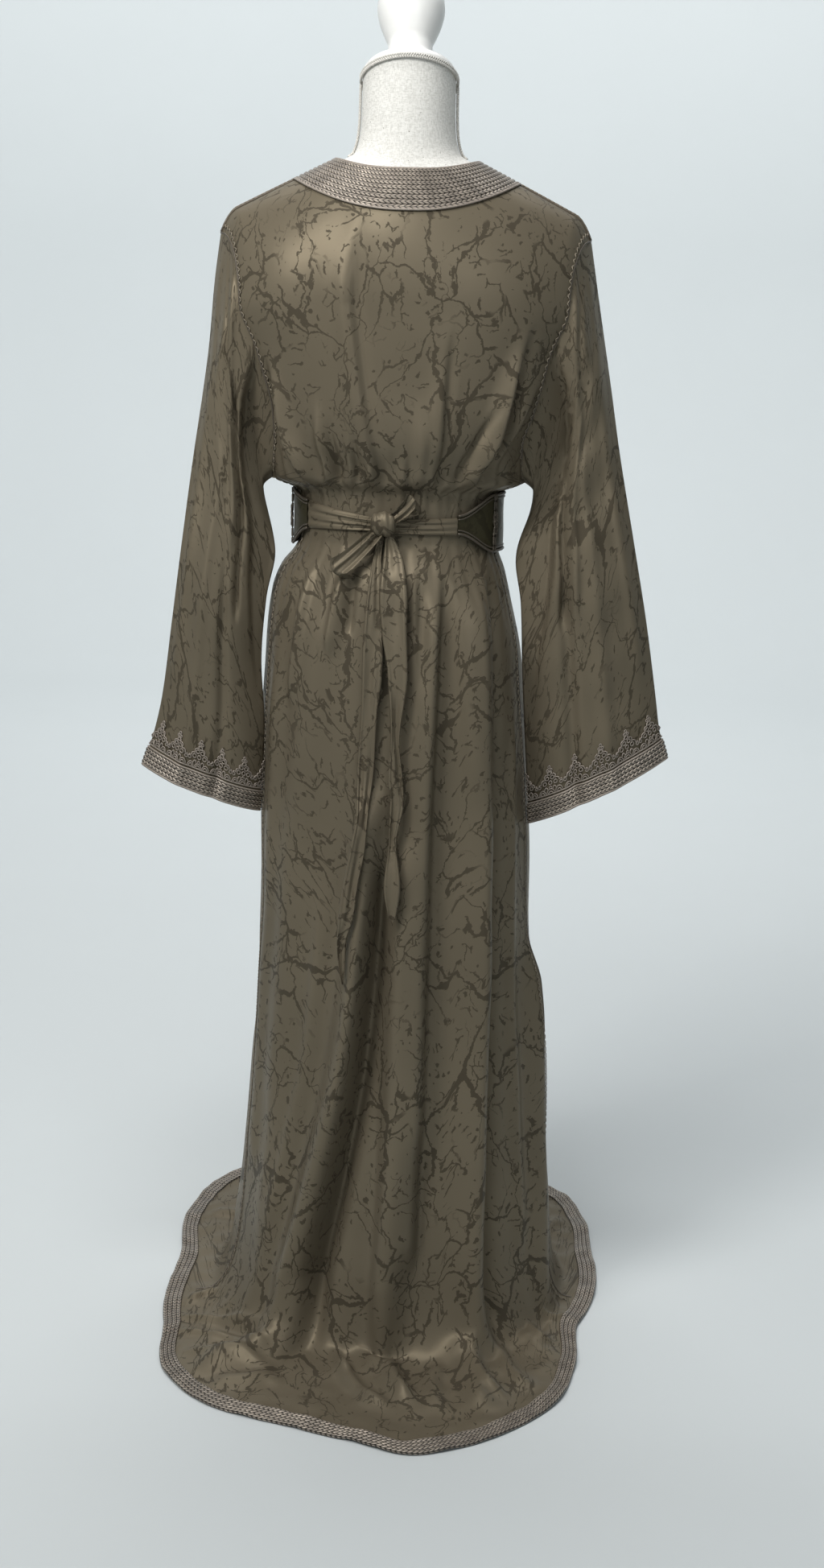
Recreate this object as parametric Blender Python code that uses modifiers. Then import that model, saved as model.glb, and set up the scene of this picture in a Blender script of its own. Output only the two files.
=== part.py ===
"""Moroccan kaftan worn by a limbless dress form, belt tied in a bow at the back.

Metres, +Z up. The back of the garment faces -Y, +X is the wearer's right side, and the origin
is on the floor, on the axis of the form. Each cloth piece is a thin closed wall, lofted
through sections that are worked out from the tables below.
"""

import math

import bmesh
import bpy
import numpy as np
from mathutils import Matrix, Vector
from mathutils.bvhtree import BVHTree

# Cloth and seams
WALL = 0.0015               # thickness of the satin and its turned edges
SEAM = 0.0003               # gap between two pieces that are sewn together
LAY = 0.0008                # gap under a piece that lies on another
FLOOR_GAP = 0.0002          # the cloth's underside over the floor
FRONT_OPENING = 0.0012      # gap between the two fronts

# Shoulders and neckline
RIDGE_TOP = 1.455           # shoulder line, carried on to the middle of the neck
RIDGE_SLOPE = 0.5
RIDGE_SOFT = 0.03
TIP_X = 0.216               # shoulder tip
TIP_START = 0.198
TIP_DROP = 0.018
BACK_YOKE_Z = 1.25          # the yoke rounds over to the shoulder line above these heights
FRONT_YOKE_Z = 1.22
NECK_HALF = 0.084           # neckline and outer edge of the neck band, in plan
BAND_HALF = 0.130
BACK_NECK_DEPTH = 0.075
BACK_BAND_DEPTH = 0.0996
FRONT_NECK_DEPTH = 0.115
FRONT_BAND_DEPTH = 0.1294
BACK_TIP_ALPHA = 20.0       # how far the row from tip to tip lies above the yoke's foot, in degrees
FRONT_TIP_ALPHA = 8.0
TIP_POWER = 3
YOKE_GATHER = 65.0          # columns crowd towards the shoulder seam, as on an arc this long

# Skirt, break and train
UNDERARM_Z = 1.050
FOOT_Z = 0.09               # the cloth starts to turn out over the floor
FLOOR_TOP = WALL + FLOOR_GAP
HEM_BAND_WIDTH = 0.022

# Rows and columns of the walls
BACK_COLUMNS = 28
FRONT_COLUMNS = 9
BAND_ROWS = 3
SHOULDER_ROWS = 3
ARM_ROWS = 3
STANDING_ROWS = (1.25, 1.21, 1.17, 1.13, 1.10, 1.072, 1.050, 1.038, 1.028, 1.003, 0.98, 0.964, 0.94,
                 0.87, 0.75, 0.61, 0.48, 0.36, 0.26, 0.17, 0.09)
BREAK_ROWS = (0.3, 0.62, 1.0)
FLOOR_ROWS = (0.3, 0.62, 1.0)
SLEEVE_ROWS = (0.0, 0.06, 0.12, 0.19, 0.28, 0.4, 0.52, 0.65, 0.78)

# Outer cloth at each height: half width left and right, depth behind and in front
BODY_COLUMNS = ("z", "left", "right", "back", "front")
BODY = (
    (0.09, 0.196, 0.218, 0.196, 0.205),
    (0.15, 0.189, 0.212, 0.188, 0.196),
    (0.23, 0.181, 0.201, 0.178, 0.186),
    (0.34, 0.173, 0.190, 0.168, 0.174),
    (0.44, 0.167, 0.180, 0.160, 0.164),
    (0.56, 0.166, 0.173, 0.151, 0.154),
    (0.65, 0.166, 0.168, 0.145, 0.147),
    (0.76, 0.165, 0.160, 0.138, 0.139),
    (0.84, 0.161, 0.152, 0.131, 0.132),
    (0.915, 0.152, 0.136, 0.121, 0.122),
    (0.945, 0.141, 0.128, 0.113, 0.114),
    (0.965, 0.126, 0.120, 0.100, 0.105),
    (0.980, 0.1196, 0.1166, 0.0926, 0.1016),
    (1.003, 0.1190, 0.1160, 0.0920, 0.1010),
    (1.028, 0.1196, 0.1166, 0.0926, 0.1016),
    (1.038, 0.1230, 0.1200, 0.0960, 0.1050),
    (1.050, 0.1525, 0.1485, 0.110, 0.121),
    (1.07, 0.158, 0.149, 0.118, 0.128),
    (1.10, 0.163, 0.156, 0.121, 0.134),
    (1.13, 0.171, 0.171, 0.122, 0.138),
    (1.16, 0.182, 0.183, 0.121, 0.140),
    (1.20, 0.197, 0.197, 0.120, 0.139),
    (1.25, 0.2194, 0.2194, 0.118, 0.135),
    (1.28, 0.2194, 0.2194, 0.118, 0.135),
)

# Seams, as angles from the middle back: edge of the back and edge of the fronts
SEAM_COLUMNS = ("z", "back_edge", "front_edge")
SEAMS = (
    (0.00, 75, 75),
    (0.95, 75, 75),
    (1.02, 79, 79),
    (1.038, 81, 81),
    (1.050, 82, 82),
    (1.060, 76, 93),
    (1.072, 72, 100),
    (1.10, 66, 110),
    (1.13, 63, 116),
    (1.16, 61, 119),
    (1.20, 60, 121),
    (1.25, 60, 122),
    (1.28, 60, 122),
)

# Hem and break on the floor: angle from the middle back, radius of each
FLOOR_COLUMNS = ("angle", "hem", "break_radius")
FLOOR = (
    (-180, 0.360, 0.252),
    (-144, 0.365, 0.250),
    (-120, 0.320, 0.240),
    (-94, 0.274, 0.228),
    (-62, 0.309, 0.248),
    (-44, 0.366, 0.262),
    (-30, 0.382, 0.258),
    (-18, 0.379, 0.235),
    (-5, 0.392, 0.222),
    (6, 0.418, 0.228),
    (15, 0.409, 0.250),
    (25, 0.391, 0.268),
    (35, 0.369, 0.266),
    (46, 0.329, 0.258),
    (64, 0.279, 0.245),
    (99, 0.286, 0.243),
    (121, 0.325, 0.248),
    (134, 0.350, 0.250),
    (180, 0.360, 0.252),
)

# Folds: x at three heights, widths on both sides of the crest, height; side -1 back, 1 front
FOLDS = (
    # side, z1, x1, z2, x2, z3, x3, left, right, height
    (-1, 1.13, -0.150, 1.06, -0.122, 1.01, -0.098, 0.010, 0.020, 0.009),
    (-1, 1.18, 0.162, 1.07, 0.104, 1.00, 0.066, 0.022, 0.010, 0.011),
    (-1, 1.30, -0.062, 1.18, -0.043, 1.01, -0.014, 0.012, 0.012, 0.005),
    (-1, 1.20, 0.056, 1.10, 0.048, 1.00, 0.044, 0.012, 0.012, 0.005),
    (-1, 1.10, -0.070, 1.05, -0.066, 1.00, -0.062, 0.008, 0.008, 0.005),
    (-1, 0.95, 0.044, 0.65, 0.038, 0.23, 0.040, 0.016, 0.014, 0.008),
    (-1, 0.96, 0.086, 0.60, 0.098, 0.00, 0.102, 0.024, 0.014, 0.017),
    (-1, 0.72, -0.022, 0.42, -0.044, 0.00, -0.130, 0.018, 0.016, 0.020),
    (-1, 0.66, 0.012, 0.34, 0.016, 0.00, 0.004, 0.015, 0.018, 0.013),
    (-1, 0.94, -0.084, 0.60, -0.118, 0.00, -0.150, 0.026, 0.026, 0.007),
    (-1, 0.50, 0.170, 0.25, 0.184, 0.00, 0.196, 0.018, 0.016, 0.010),
    (1, 1.18, -0.120, 1.08, -0.092, 1.00, -0.074, 0.020, 0.020, 0.007),
    (1, 1.18, 0.122, 1.08, 0.096, 1.00, 0.080, 0.020, 0.020, 0.007),
    (1, 0.95, -0.060, 0.60, -0.072, 0.00, -0.090, 0.026, 0.030, 0.014),
    (1, 0.95, 0.052, 0.60, 0.064, 0.00, 0.086, 0.030, 0.026, 0.016),
    (1, 0.70, -0.126, 0.40, -0.144, 0.00, -0.160, 0.024, 0.024, 0.010),
    (1, 0.74, 0.122, 0.40, 0.144, 0.00, 0.168, 0.026, 0.022, 0.011),
)
GUIDES = ((-0.286, 7), (0.071, 8), (0.5, 6))    # columns of the back skirt that run along a fold
GUIDE_TOP = 0.72
GUIDE_RUN = 0.14
FOLD_FADE = 0.07            # a fold rises over this height at its ends
WAIST_FREE = (0.960, 1.042) # no fold stands up under the belt

# Low waves on the floor: angle and radius of both ends, half width, height
WAVES = (
    # angle1, radius1, angle2, radius2, width, height
    (-33, 0.240, -42, 0.345, 0.022, 0.016),
    (-4, 0.215, 7, 0.330, 0.016, 0.012),
    (24, 0.250, 21, 0.350, 0.018, 0.012),
    (47, 0.250, 48, 0.300, 0.014, 0.008),
    (150, 0.240, 148, 0.330, 0.020, 0.012),
    (-152, 0.240, -150, 0.330, 0.020, 0.012),
)

# Sleeves: outer line and inner line from the armhole to the hem, for the left and right
SLEEVE_OUTER = {
    -1: ((0.216, 1.330), (0.224, 1.270), (0.230, 1.200), (0.236, 1.150), (0.246, 1.076),
         (0.260, 0.963), (0.272, 0.870), (0.283, 0.788), (0.293, 0.743), (0.307, 0.700)),
    1: ((0.216, 1.330), (0.227, 1.270), (0.239, 1.205), (0.247, 1.160), (0.259, 1.088),
        (0.281, 0.977), (0.300, 0.885), (0.315, 0.800), (0.322, 0.758), (0.332, 0.724)),
}
SLEEVE_INNER = {
    -1: ((0.151, 1.050), (0.148, 1.010), (0.147, 0.968), (0.158, 0.905), (0.163, 0.830),
         (0.159, 0.757), (0.161, 0.690), (0.165, 0.646)),
    1: ((0.147, 1.050), (0.144, 1.012), (0.139, 0.968), (0.148, 0.905), (0.152, 0.830),
        (0.158, 0.750), (0.163, 0.690), (0.168, 0.638)),
}
INNER_LAG = 1.6             # the inner line leaves the underarm later than the outer one
SLEEVE_BACK_SHIFT = 0.042   # how far behind the form's axis the lower sleeve hangs
CUFF_BULGE = 0.030          # half depth of the sleeve's opening
SLEEVE_BULGE = 0.040        # half depth halfway down
SLEEVE_FOLD = {             # tuck: place along the sleeve, share of its width, how flat it is
    -1: ((0.0, 0.45, 0.0), (0.12, 0.55, 0.45), (0.35, 0.66, 0.72), (0.6, 0.84, 0.6),
         (0.8, 0.95, 0.0), (1.0, 1.0, 0.0)),
    1: ((0.0, 0.40, 0.0), (0.12, 0.48, 0.45), (0.35, 0.58, 0.72), (0.6, 0.78, 0.6),
        (0.85, 0.95, 0.0), (1.0, 1.0, 0.0)),
}
SLEEVE_FOLD_WIDTH = 0.09
SLEEVE_BLOOM = 0.014        # the cloth first stands off sideways from the armhole seam
EVEN_CUFF = 0.65            # how even the columns lie round the cuff

# Trims
BAND_THICK = 0.0026         # braid of the neck, cuffs and hem
CUFF_BAND_WIDTH = 0.021
CREST_HEIGHT = 0.040
CREST_LOW = 0.018
CREST_RISE = 0.6            # the trim's thickness as a share of the braid's
NECK_BAND_RISE = (0.8, 1.0, 1.0, 0.8)     # the neck band is a little arched
CREST_REPEATS = 11
EDGE_OVERHANG = 0.0015      # the braid reaches past the cloth's edge

# Belt and bow
BELT_Z = 1.003
BELT_HALF = 0.033
BELT_THICK = 0.0032
BELT_LIFT = 0.0012          # over the cloth at the belt's ends, and further out between them
BELT_STAND = 0.0048
BELT_PIPE = 0.0012          # the piped edges are this much thicker
BELT_COLUMN_COUNT = 28
BELT_ENDS = (               # right and left end: angle from the middle back, taper, half height
    (35.0, 28.0, 0.0105),
    (298.0, 26.0, 0.0165),
)
BELT_LEVELS = ((-1.0, 1), (-0.9, 1), (-0.82, 0), (0.82, 0), (0.9, 1), (1.0, 1))
TIE_LIFT = 0.0012
TIE_THICK = 0.0022
TIES = {                    # angles, heights of the middle and half heights, belt end first
    "belt_tie_right": (34.7, -8.5, 1.0005, 1.001, 0.0105, 0.008),
    "belt_tie_left": (-61.7, -9.2, 1.0085, 1.0020, 0.0165, 0.007),
}
TIE_COLUMNS = 8
KNOT = (-0.018, 1.004)      # middle of the knot, x and z
KNOT_SIZE = (0.0150, 0.0100, 0.0140)
KNOT_CAGE = 1.18            # the cage is this much larger than the rounded knot
KNOT_STAND = 0.0137
LOOPS = {                   # direction in x and z, length, half width, start, depth, half gap
    "bow_loop_upper": (0.85, 0.53, 0.032, 0.0135, 0.0146, 0.0125, 0.0062),
    "bow_loop_lower": (-0.64, -0.77, 0.064, 0.0180, 0.0141, 0.0135, 0.0080),
}
LOOP_ROWS = 13
TAILS = {                   # rows of height, left edge and right edge
    "bow_tail_right": (
        (0.9897, -0.0150, -0.006), (0.965, -0.017, 0.006), (0.940, -0.020, 0.011),
        (0.920, -0.021, 0.013), (0.887, -0.019, 0.014), (0.834, -0.009, 0.015),
        (0.758, -0.004, 0.007), (0.718, -0.006, 0.012), (0.687, -0.003, 0.014),
        (0.640, -0.003, 0.006), (0.589, -0.009, 0.013), (0.543, 0.001, 0.006)),
    "bow_tail_left": (
        (0.9896, -0.0245, -0.0172), (0.965, -0.029, -0.019), (0.940, -0.033, -0.017),
        (0.915, -0.036, -0.016), (0.881, -0.038, -0.015), (0.844, -0.039, -0.014),
        (0.779, -0.040, -0.019), (0.722, -0.042, -0.022), (0.676, -0.042, -0.027),
        (0.635, -0.049, -0.029), (0.593, -0.055, -0.037), (0.551, -0.060, -0.042),
        (0.519, -0.062, -0.050), (0.472, -0.056, -0.051)),
}
KNOT_FOOT_Z = 0.98          # above this height the tails come out of the knot
TAIL_LIFT = {"bow_tail_right": 0.0088, "bow_tail_left": 0.0042}
TAIL_ARCH = 0.0016

# Dress form
FORM_COLUMNS = ("z", "half", "back", "front")
FORM = (
    (0.800, 0.118, 0.092, 0.092),
    (0.812, 0.130, 0.104, 0.104),
    (0.860, 0.134, 0.110, 0.110),
    (0.910, 0.126, 0.104, 0.106),
    (0.960, 0.112, 0.090, 0.096),
    (1.000, 0.107, 0.083, 0.091),
    (1.040, 0.112, 0.088, 0.098),
    (1.090, 0.126, 0.097, 0.116),
    (1.150, 0.140, 0.101, 0.128),
    (1.200, 0.158, 0.101, 0.122),
    (1.250, 0.186, 0.099, 0.112),
    (1.280, 0.186, 0.099, 0.112),
)
FORM_RINGS = (0.800, 0.806, 0.815, 0.86, 0.91, 0.96, 1.0, 1.04, 1.09, 1.15, 1.2, 1.25,
              1.285, 1.31, 1.33, 1.348, 1.366, 1.385, 1.40, 1.408, 1.416, 1.435, 1.46, 1.48)
FORM_SEGMENTS = 24
FORM_UNDER_CLOTH = 0.0012   # how far the form's shoulders lie under the cloth
NECK_RADIUS = 0.0535
NECK_FLARE = 0.032          # the neck widens into the shoulders
NECK_FLARE_Z = 1.40
NECK_FLARE_RUN = 0.014
NECK_FLARE_ROUND = 0.2      # share of the flare behind and in front
NECK_TOP_Z = 1.503
NECK_TILT = 0.38            # the neck's top slopes down to the front
GIMP_RADIUS = 0.0028
GIMP_DROP = 0.004
SEAM_BRAID_TOP = 1.490
SEAM_BRAID_FOOT = 1.43
SEAM_BRAID_SIDES = 8
CAP_THICK = 0.017
CAP_PROFILE = (             # radius and height
    (0.0, CAP_THICK), (0.026, CAP_THICK), (0.040, 0.0145), (0.050, 0.0095), (0.0535, 0.003),
    (0.0525, 0.0), (0.0, 0.0),
)
FINIAL_PROFILE = (
    (0.0, 0.108), (0.014, 0.106), (0.028, 0.097), (0.037, 0.080), (0.039, 0.064), (0.036, 0.048),
    (0.030, 0.032), (0.0255, 0.020), (0.026, 0.010), (0.031, 0.004), (0.031, 0.0), (0.0, 0.0),
)
POLE_RADIUS = 0.0125
COLLAR_TOP = 0.045
BASE_RADIUS = 0.140
BASE_PROFILE = (
    (0.0, COLLAR_TOP), (0.020, COLLAR_TOP), (0.024, 0.041), (0.026, 0.026), (0.034, 0.018),
    (0.060, 0.0125), (BASE_RADIUS - 0.006, 0.010), (BASE_RADIUS, 0.006), (BASE_RADIUS, 0.002),
    (BASE_RADIUS - 0.002, 0.0), (0.0, 0.0),
)

CLOTH = ("satin", (0.160, 0.138, 0.100), 0.38, 0.0)
BRAID = ("braid", (0.210, 0.165, 0.135), 0.45, 0.0)
LINEN = ("linen", (0.830, 0.820, 0.780), 0.85, 0.0)
CORD = ("gimp", (0.860, 0.840, 0.790), 0.70, 0.0)
PAINT = ("white_paint", (0.880, 0.870, 0.850), 0.35, 0.0)
STEEL = ("steel", (0.600, 0.600, 0.600), 0.30, 1.0)


# Small mathematics

def curve(xs, ys, at):
    """Smooth curve without overshoot through the rows of a table."""
    xs = np.asarray(xs, float)
    ys = np.asarray(ys, float)
    step = np.diff(xs)
    slope = np.diff(ys) / step
    tangent = np.zeros(len(xs))
    product = slope[1:] * slope[:-1]
    total = np.where(np.abs(slope[1:] + slope[:-1]) < 1e-12, 1.0, slope[1:] + slope[:-1])
    tangent[1:-1] = np.where(product > 0, 2 * product / total, 0.0)
    tangent[0] = slope[0]
    tangent[-1] = slope[-1]
    at = np.clip(np.asarray(at, float), xs[0], xs[-1])
    k = np.clip(np.searchsorted(xs, at) - 1, 0, len(xs) - 2)
    h = step[k]
    t = (at - xs[k]) / h
    low = (1 + 2 * t) * (1 - t) ** 2 * ys[k] + t * (1 - t) ** 2 * h * tangent[k]
    high = t ** 2 * (3 - 2 * t) * ys[k + 1] + t ** 2 * (t - 1) * h * tangent[k + 1]
    return low + high


def look_up(rows, columns, name, at):
    """One column of a table, read along its first column."""
    values = np.array(rows, float)
    return curve(values[:, 0], values[:, columns.index(name)], at)


def smooth_step(t):
    t = np.clip(t, 0.0, 1.0)
    return t * t * (3 - 2 * t)


def unit(vectors):
    length = np.linalg.norm(vectors, axis=-1, keepdims=True)
    return vectors / np.maximum(length, 1e-12)


def grid_normals(points, wrap):
    """Outward normals of a grid of points, rows down and columns to the right."""
    rows = np.empty_like(points)
    rows[1:-1] = points[2:] - points[:-2]
    rows[0] = points[1] - points[0]
    rows[-1] = points[-1] - points[-2]
    if wrap:
        columns = np.roll(points, -1, axis=1) - np.roll(points, 1, axis=1)
    else:
        columns = np.empty_like(points)
        columns[:, 1:-1] = points[:, 2:] - points[:, :-2]
        columns[:, 0] = points[:, 1] - points[:, 0]
        columns[:, -1] = points[:, -1] - points[:, -2]
    return unit(np.cross(rows, columns))


# Body of the garment

def ridge(x):
    """Height of the shoulder line."""
    z = RIDGE_TOP - RIDGE_SLOPE * np.sqrt(x * x + RIDGE_SOFT ** 2)
    beyond = np.maximum(np.abs(x) - TIP_START, 0) / (TIP_X - TIP_START)
    return z - TIP_DROP * beyond ** 2


def section(z, angle):
    """Outer cloth of the body at a height and an angle from the middle back, no folds."""
    sine = np.sin(angle)
    cosine = np.cos(angle)
    left = look_up(BODY, BODY_COLUMNS, "left", z)
    right = look_up(BODY, BODY_COLUMNS, "right", z)
    back = look_up(BODY, BODY_COLUMNS, "back", z)
    front = look_up(BODY, BODY_COLUMNS, "front", z)
    x = np.where(sine < 0, left, right) * sine
    y = -np.where(cosine > 0, back, front) * cosine
    return x, y


def fold_crest(fold, z):
    """Angle of a fold's crest at a height, from the middle back."""
    side, z1, x1, z2, x2, z3, x3 = fold[:7]
    x = curve((z3, z2, z1), (x3, x2, x1), z)
    half = np.where(x < 0, look_up(BODY, BODY_COLUMNS, "left", z),
                    look_up(BODY, BODY_COLUMNS, "right", z))
    angle = np.arcsin(np.clip(x / half, -0.999, 0.999))
    return angle if side < 0 else math.pi - angle


def fold_height(z, angle):
    """How far the folds stand out of the body at a height and an angle."""
    total = np.zeros(np.broadcast(z, angle).shape)
    girth = look_up(BODY, BODY_COLUMNS, "left", z)
    for fold in FOLDS:
        side, z1, _, _, _, z3, _, left, right, height = fold
        away = angle - fold_crest(fold, z)
        away = (away + math.pi) % (2 * math.pi) - math.pi
        distance = -side * away * girth
        width = np.where(distance < 0, left, right)
        rise = smooth_step((z1 - z) / FOLD_FADE)
        if z3 > 0:
            rise = rise * smooth_step((z - z3) / FOLD_FADE)
        total = total + height * rise * np.exp(-(distance / width) ** 2)
    low, high = WAIST_FREE
    waist = smooth_step((z - high) / 0.05) + smooth_step((low - z) / 0.05)
    return total * waist


def standing(z, angle):
    """Body with its folds, above the floor."""
    x, y = section(z, angle)
    out = fold_height(z, angle)
    x = x + out * np.sin(angle)
    y = y - out * np.cos(angle)
    return np.stack(np.broadcast_arrays(x, y, z), axis=-1)


def edge_angle(z, front):
    name = "front_edge" if front else "back_edge"
    return np.radians(look_up(SEAMS, SEAM_COLUMNS, name, z))


def panel_angle(u, z, front):
    """Angle from the middle back: u is 0 in a panel's middle and 1 or -1 at its side seams."""
    edge = edge_angle(z, front)
    if front:
        side = np.where(u < 0, -1.0, 1.0)
        return side * (math.pi - np.abs(u) * (math.pi - edge))
    share = smooth_step((GUIDE_TOP - z) / GUIDE_RUN)
    places = [-1.0]
    angles = [-edge]
    for place, fold in GUIDES:
        angle = fold_crest(FOLDS[fold], z)
        places.append(place)
        angles.append(place * edge * (1 - share) + angle * share)
    return curve(places + [1.0], np.array(angles + [edge]), u)


def yoke(xi, alpha, front):
    """Yoke: xi across, alpha from 0 at the yoke's foot to a right angle on the shoulder."""
    foot = FRONT_YOKE_Z if front else BACK_YOKE_Z
    x, y = section(foot, panel_angle(xi, foot, front))
    x_ridge = TIP_X * xi
    z = foot + (ridge(x_ridge) - foot) * np.sin(alpha)
    x = x + (x_ridge - x) * (1 - np.cos(alpha))
    flat = fold_height(foot, panel_angle(xi, foot, front)) * smooth_step(1 - alpha)
    side = 1.0 if front else -1.0
    return np.stack([x, y * np.cos(alpha) + side * flat, z], axis=-1)


def on_plan(u, half, depth, front):
    """Place in the yoke (xi, alpha) of a point on an oval round the neck."""
    turn = u * math.pi / 2
    x = half * np.sin(turn)
    y = depth * np.cos(turn)
    foot = FRONT_YOKE_Z if front else BACK_YOKE_Z
    xi = u * half / TIP_X
    alpha = np.zeros_like(u)
    for _ in range(12):
        _, y_foot = section(foot, panel_angle(xi, foot, front))
        alpha = np.arccos(np.clip(y / np.maximum(np.abs(y_foot), 1e-9), 0.0, 1.0))
        here = yoke(xi, alpha, front)[..., 0]
        xi = np.where(np.abs(x) < 1e-9, xi, xi * x / np.where(np.abs(here) < 1e-9, 1.0, here))
    return xi, alpha


def yoke_rows(u, front):
    """Rows from the neckline to the yoke's foot; the first ones lie under the neck band."""
    neck_depth = FRONT_NECK_DEPTH if front else BACK_NECK_DEPTH
    band_depth = FRONT_BAND_DEPTH if front else BACK_BAND_DEPTH
    tip_alpha = math.radians(FRONT_TIP_ALPHA if front else BACK_TIP_ALPHA)
    keys = [on_plan(u, NECK_HALF, neck_depth, front)]
    keys.append(on_plan(u, BAND_HALF, band_depth, front))
    keys.append((u, tip_alpha + (math.pi / 2 - tip_alpha) * np.abs(u) ** TIP_POWER))
    keys.append((u, 0.0 * u))
    rows = []
    for k, count in enumerate((BAND_ROWS, SHOULDER_ROWS, ARM_ROWS)):
        for step in range(count):
            t = step / count
            xi = keys[k][0] * (1 - t) + keys[k + 1][0] * t
            alpha = keys[k][1] * (1 - t) + keys[k + 1][1] * t
            rows.append(yoke(xi, alpha, front))
    return rows


def wave_height(x, y):
    """Low folds of the cloth that lies on the floor."""
    total = np.zeros_like(x)
    for angle1, radius1, angle2, radius2, width, height in WAVES:
        start = np.array([math.sin(math.radians(angle1)), -math.cos(math.radians(angle1))])
        end = np.array([math.sin(math.radians(angle2)), -math.cos(math.radians(angle2))])
        start = start * radius1
        along = end * radius2 - start
        length = np.hypot(*along)
        t = ((x - start[0]) * along[0] + (y - start[1]) * along[1]) / length ** 2
        across = ((x - start[0]) * along[1] - (y - start[1]) * along[0]) / length
        fade = smooth_step((t + 0.3) / 0.3) * smooth_step((1.25 - t) / 0.5)
        total = total + height * fade * np.exp(-(across / width) ** 2)
    return total


def floor_rows(angle):
    """Rows from the foot of the skirt out over the floor to the hem."""
    foot = standing(FOOT_Z, angle)
    radius = np.hypot(foot[:, 0], foot[:, 1])
    polar = np.arctan2(foot[:, 0], -foot[:, 1])
    degrees = np.degrees(polar)
    hem = look_up(FLOOR, FLOOR_COLUMNS, "hem", degrees)
    reach = np.maximum(look_up(FLOOR, FLOOR_COLUMNS, "break_radius", degrees), radius + 0.012)
    fold = fold_height(FOOT_Z, angle)
    low_radius = radius + 0.25 * (reach - radius)
    low_z = FLOOR_TOP + 0.004
    rows = []

    def lay(r, z):
        x = r * np.sin(polar)
        y = -r * np.cos(polar)
        rise = wave_height(x, y) * smooth_step((r - radius) / 0.03)
        near_hem = smooth_step((hem - HEM_BAND_WIDTH - r) / 0.05)
        return np.stack([x, y, z + rise * near_hem], axis=-1)

    for t in BREAK_ROWS:
        r = (1 - t) ** 2 * radius + 2 * t * (1 - t) * low_radius + t * t * reach
        z = (1 - t) ** 2 * FOOT_Z + 2 * t * (1 - t) * low_z + t * t * FLOOR_TOP
        rows.append(lay(r, z + 0.35 * fold * smooth_step(2 * t) * (1 - 0.4 * t)))
    inner_hem = hem - HEM_BAND_WIDTH
    for t in FLOOR_ROWS:
        r = reach + (inner_hem - reach) * t
        rows.append(lay(r, FLOOR_TOP + 0.21 * fold * (1 - t) ** 1.5))
    rows.append(lay(hem, FLOOR_TOP + 0.0 * hem))
    return rows


def body_panel(u, front):
    """All rows of the back or of a front, from the neckline to the hem."""
    gather = math.radians(YOKE_GATHER)
    gathered = np.sin(u * gather) / math.sin(gather)
    rows = yoke_rows(gathered, front)
    top = FRONT_YOKE_Z if front else BACK_YOKE_Z
    heights = [top + (UNDERARM_Z - top) * (z - BACK_YOKE_Z) / (UNDERARM_Z - BACK_YOKE_Z)
               if z > UNDERARM_Z else z for z in STANDING_ROWS]
    for z in heights:
        share = smooth_step((z - UNDERARM_Z) / (top - UNDERARM_Z))
        here = u + (gathered - u) * share
        rows.append(standing(z + 0.0 * u, panel_angle(here, z, front)))
    rows.extend(floor_rows(panel_angle(u, FOOT_Z, front)))
    return np.array(rows)


# Sleeves

def arc_length(rows):
    return float(np.linalg.norm(np.diff(np.array(rows, float), axis=0), axis=1).sum())


def arc_positions(points):
    steps = np.linalg.norm(np.diff(points, axis=0), axis=1)
    total = np.concatenate([[0.0], np.cumsum(steps)])
    return total / total[-1]


def line_at(rows, side, share):
    """Point of a sleeve's outer or inner line at a share of its length."""
    points = np.array(rows, float)
    along = arc_positions(points)
    x = curve(along, points[:, 0], share) * side
    z = curve(along, points[:, 1], share)
    return np.stack([x, np.zeros_like(x), z], axis=-1)


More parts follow.
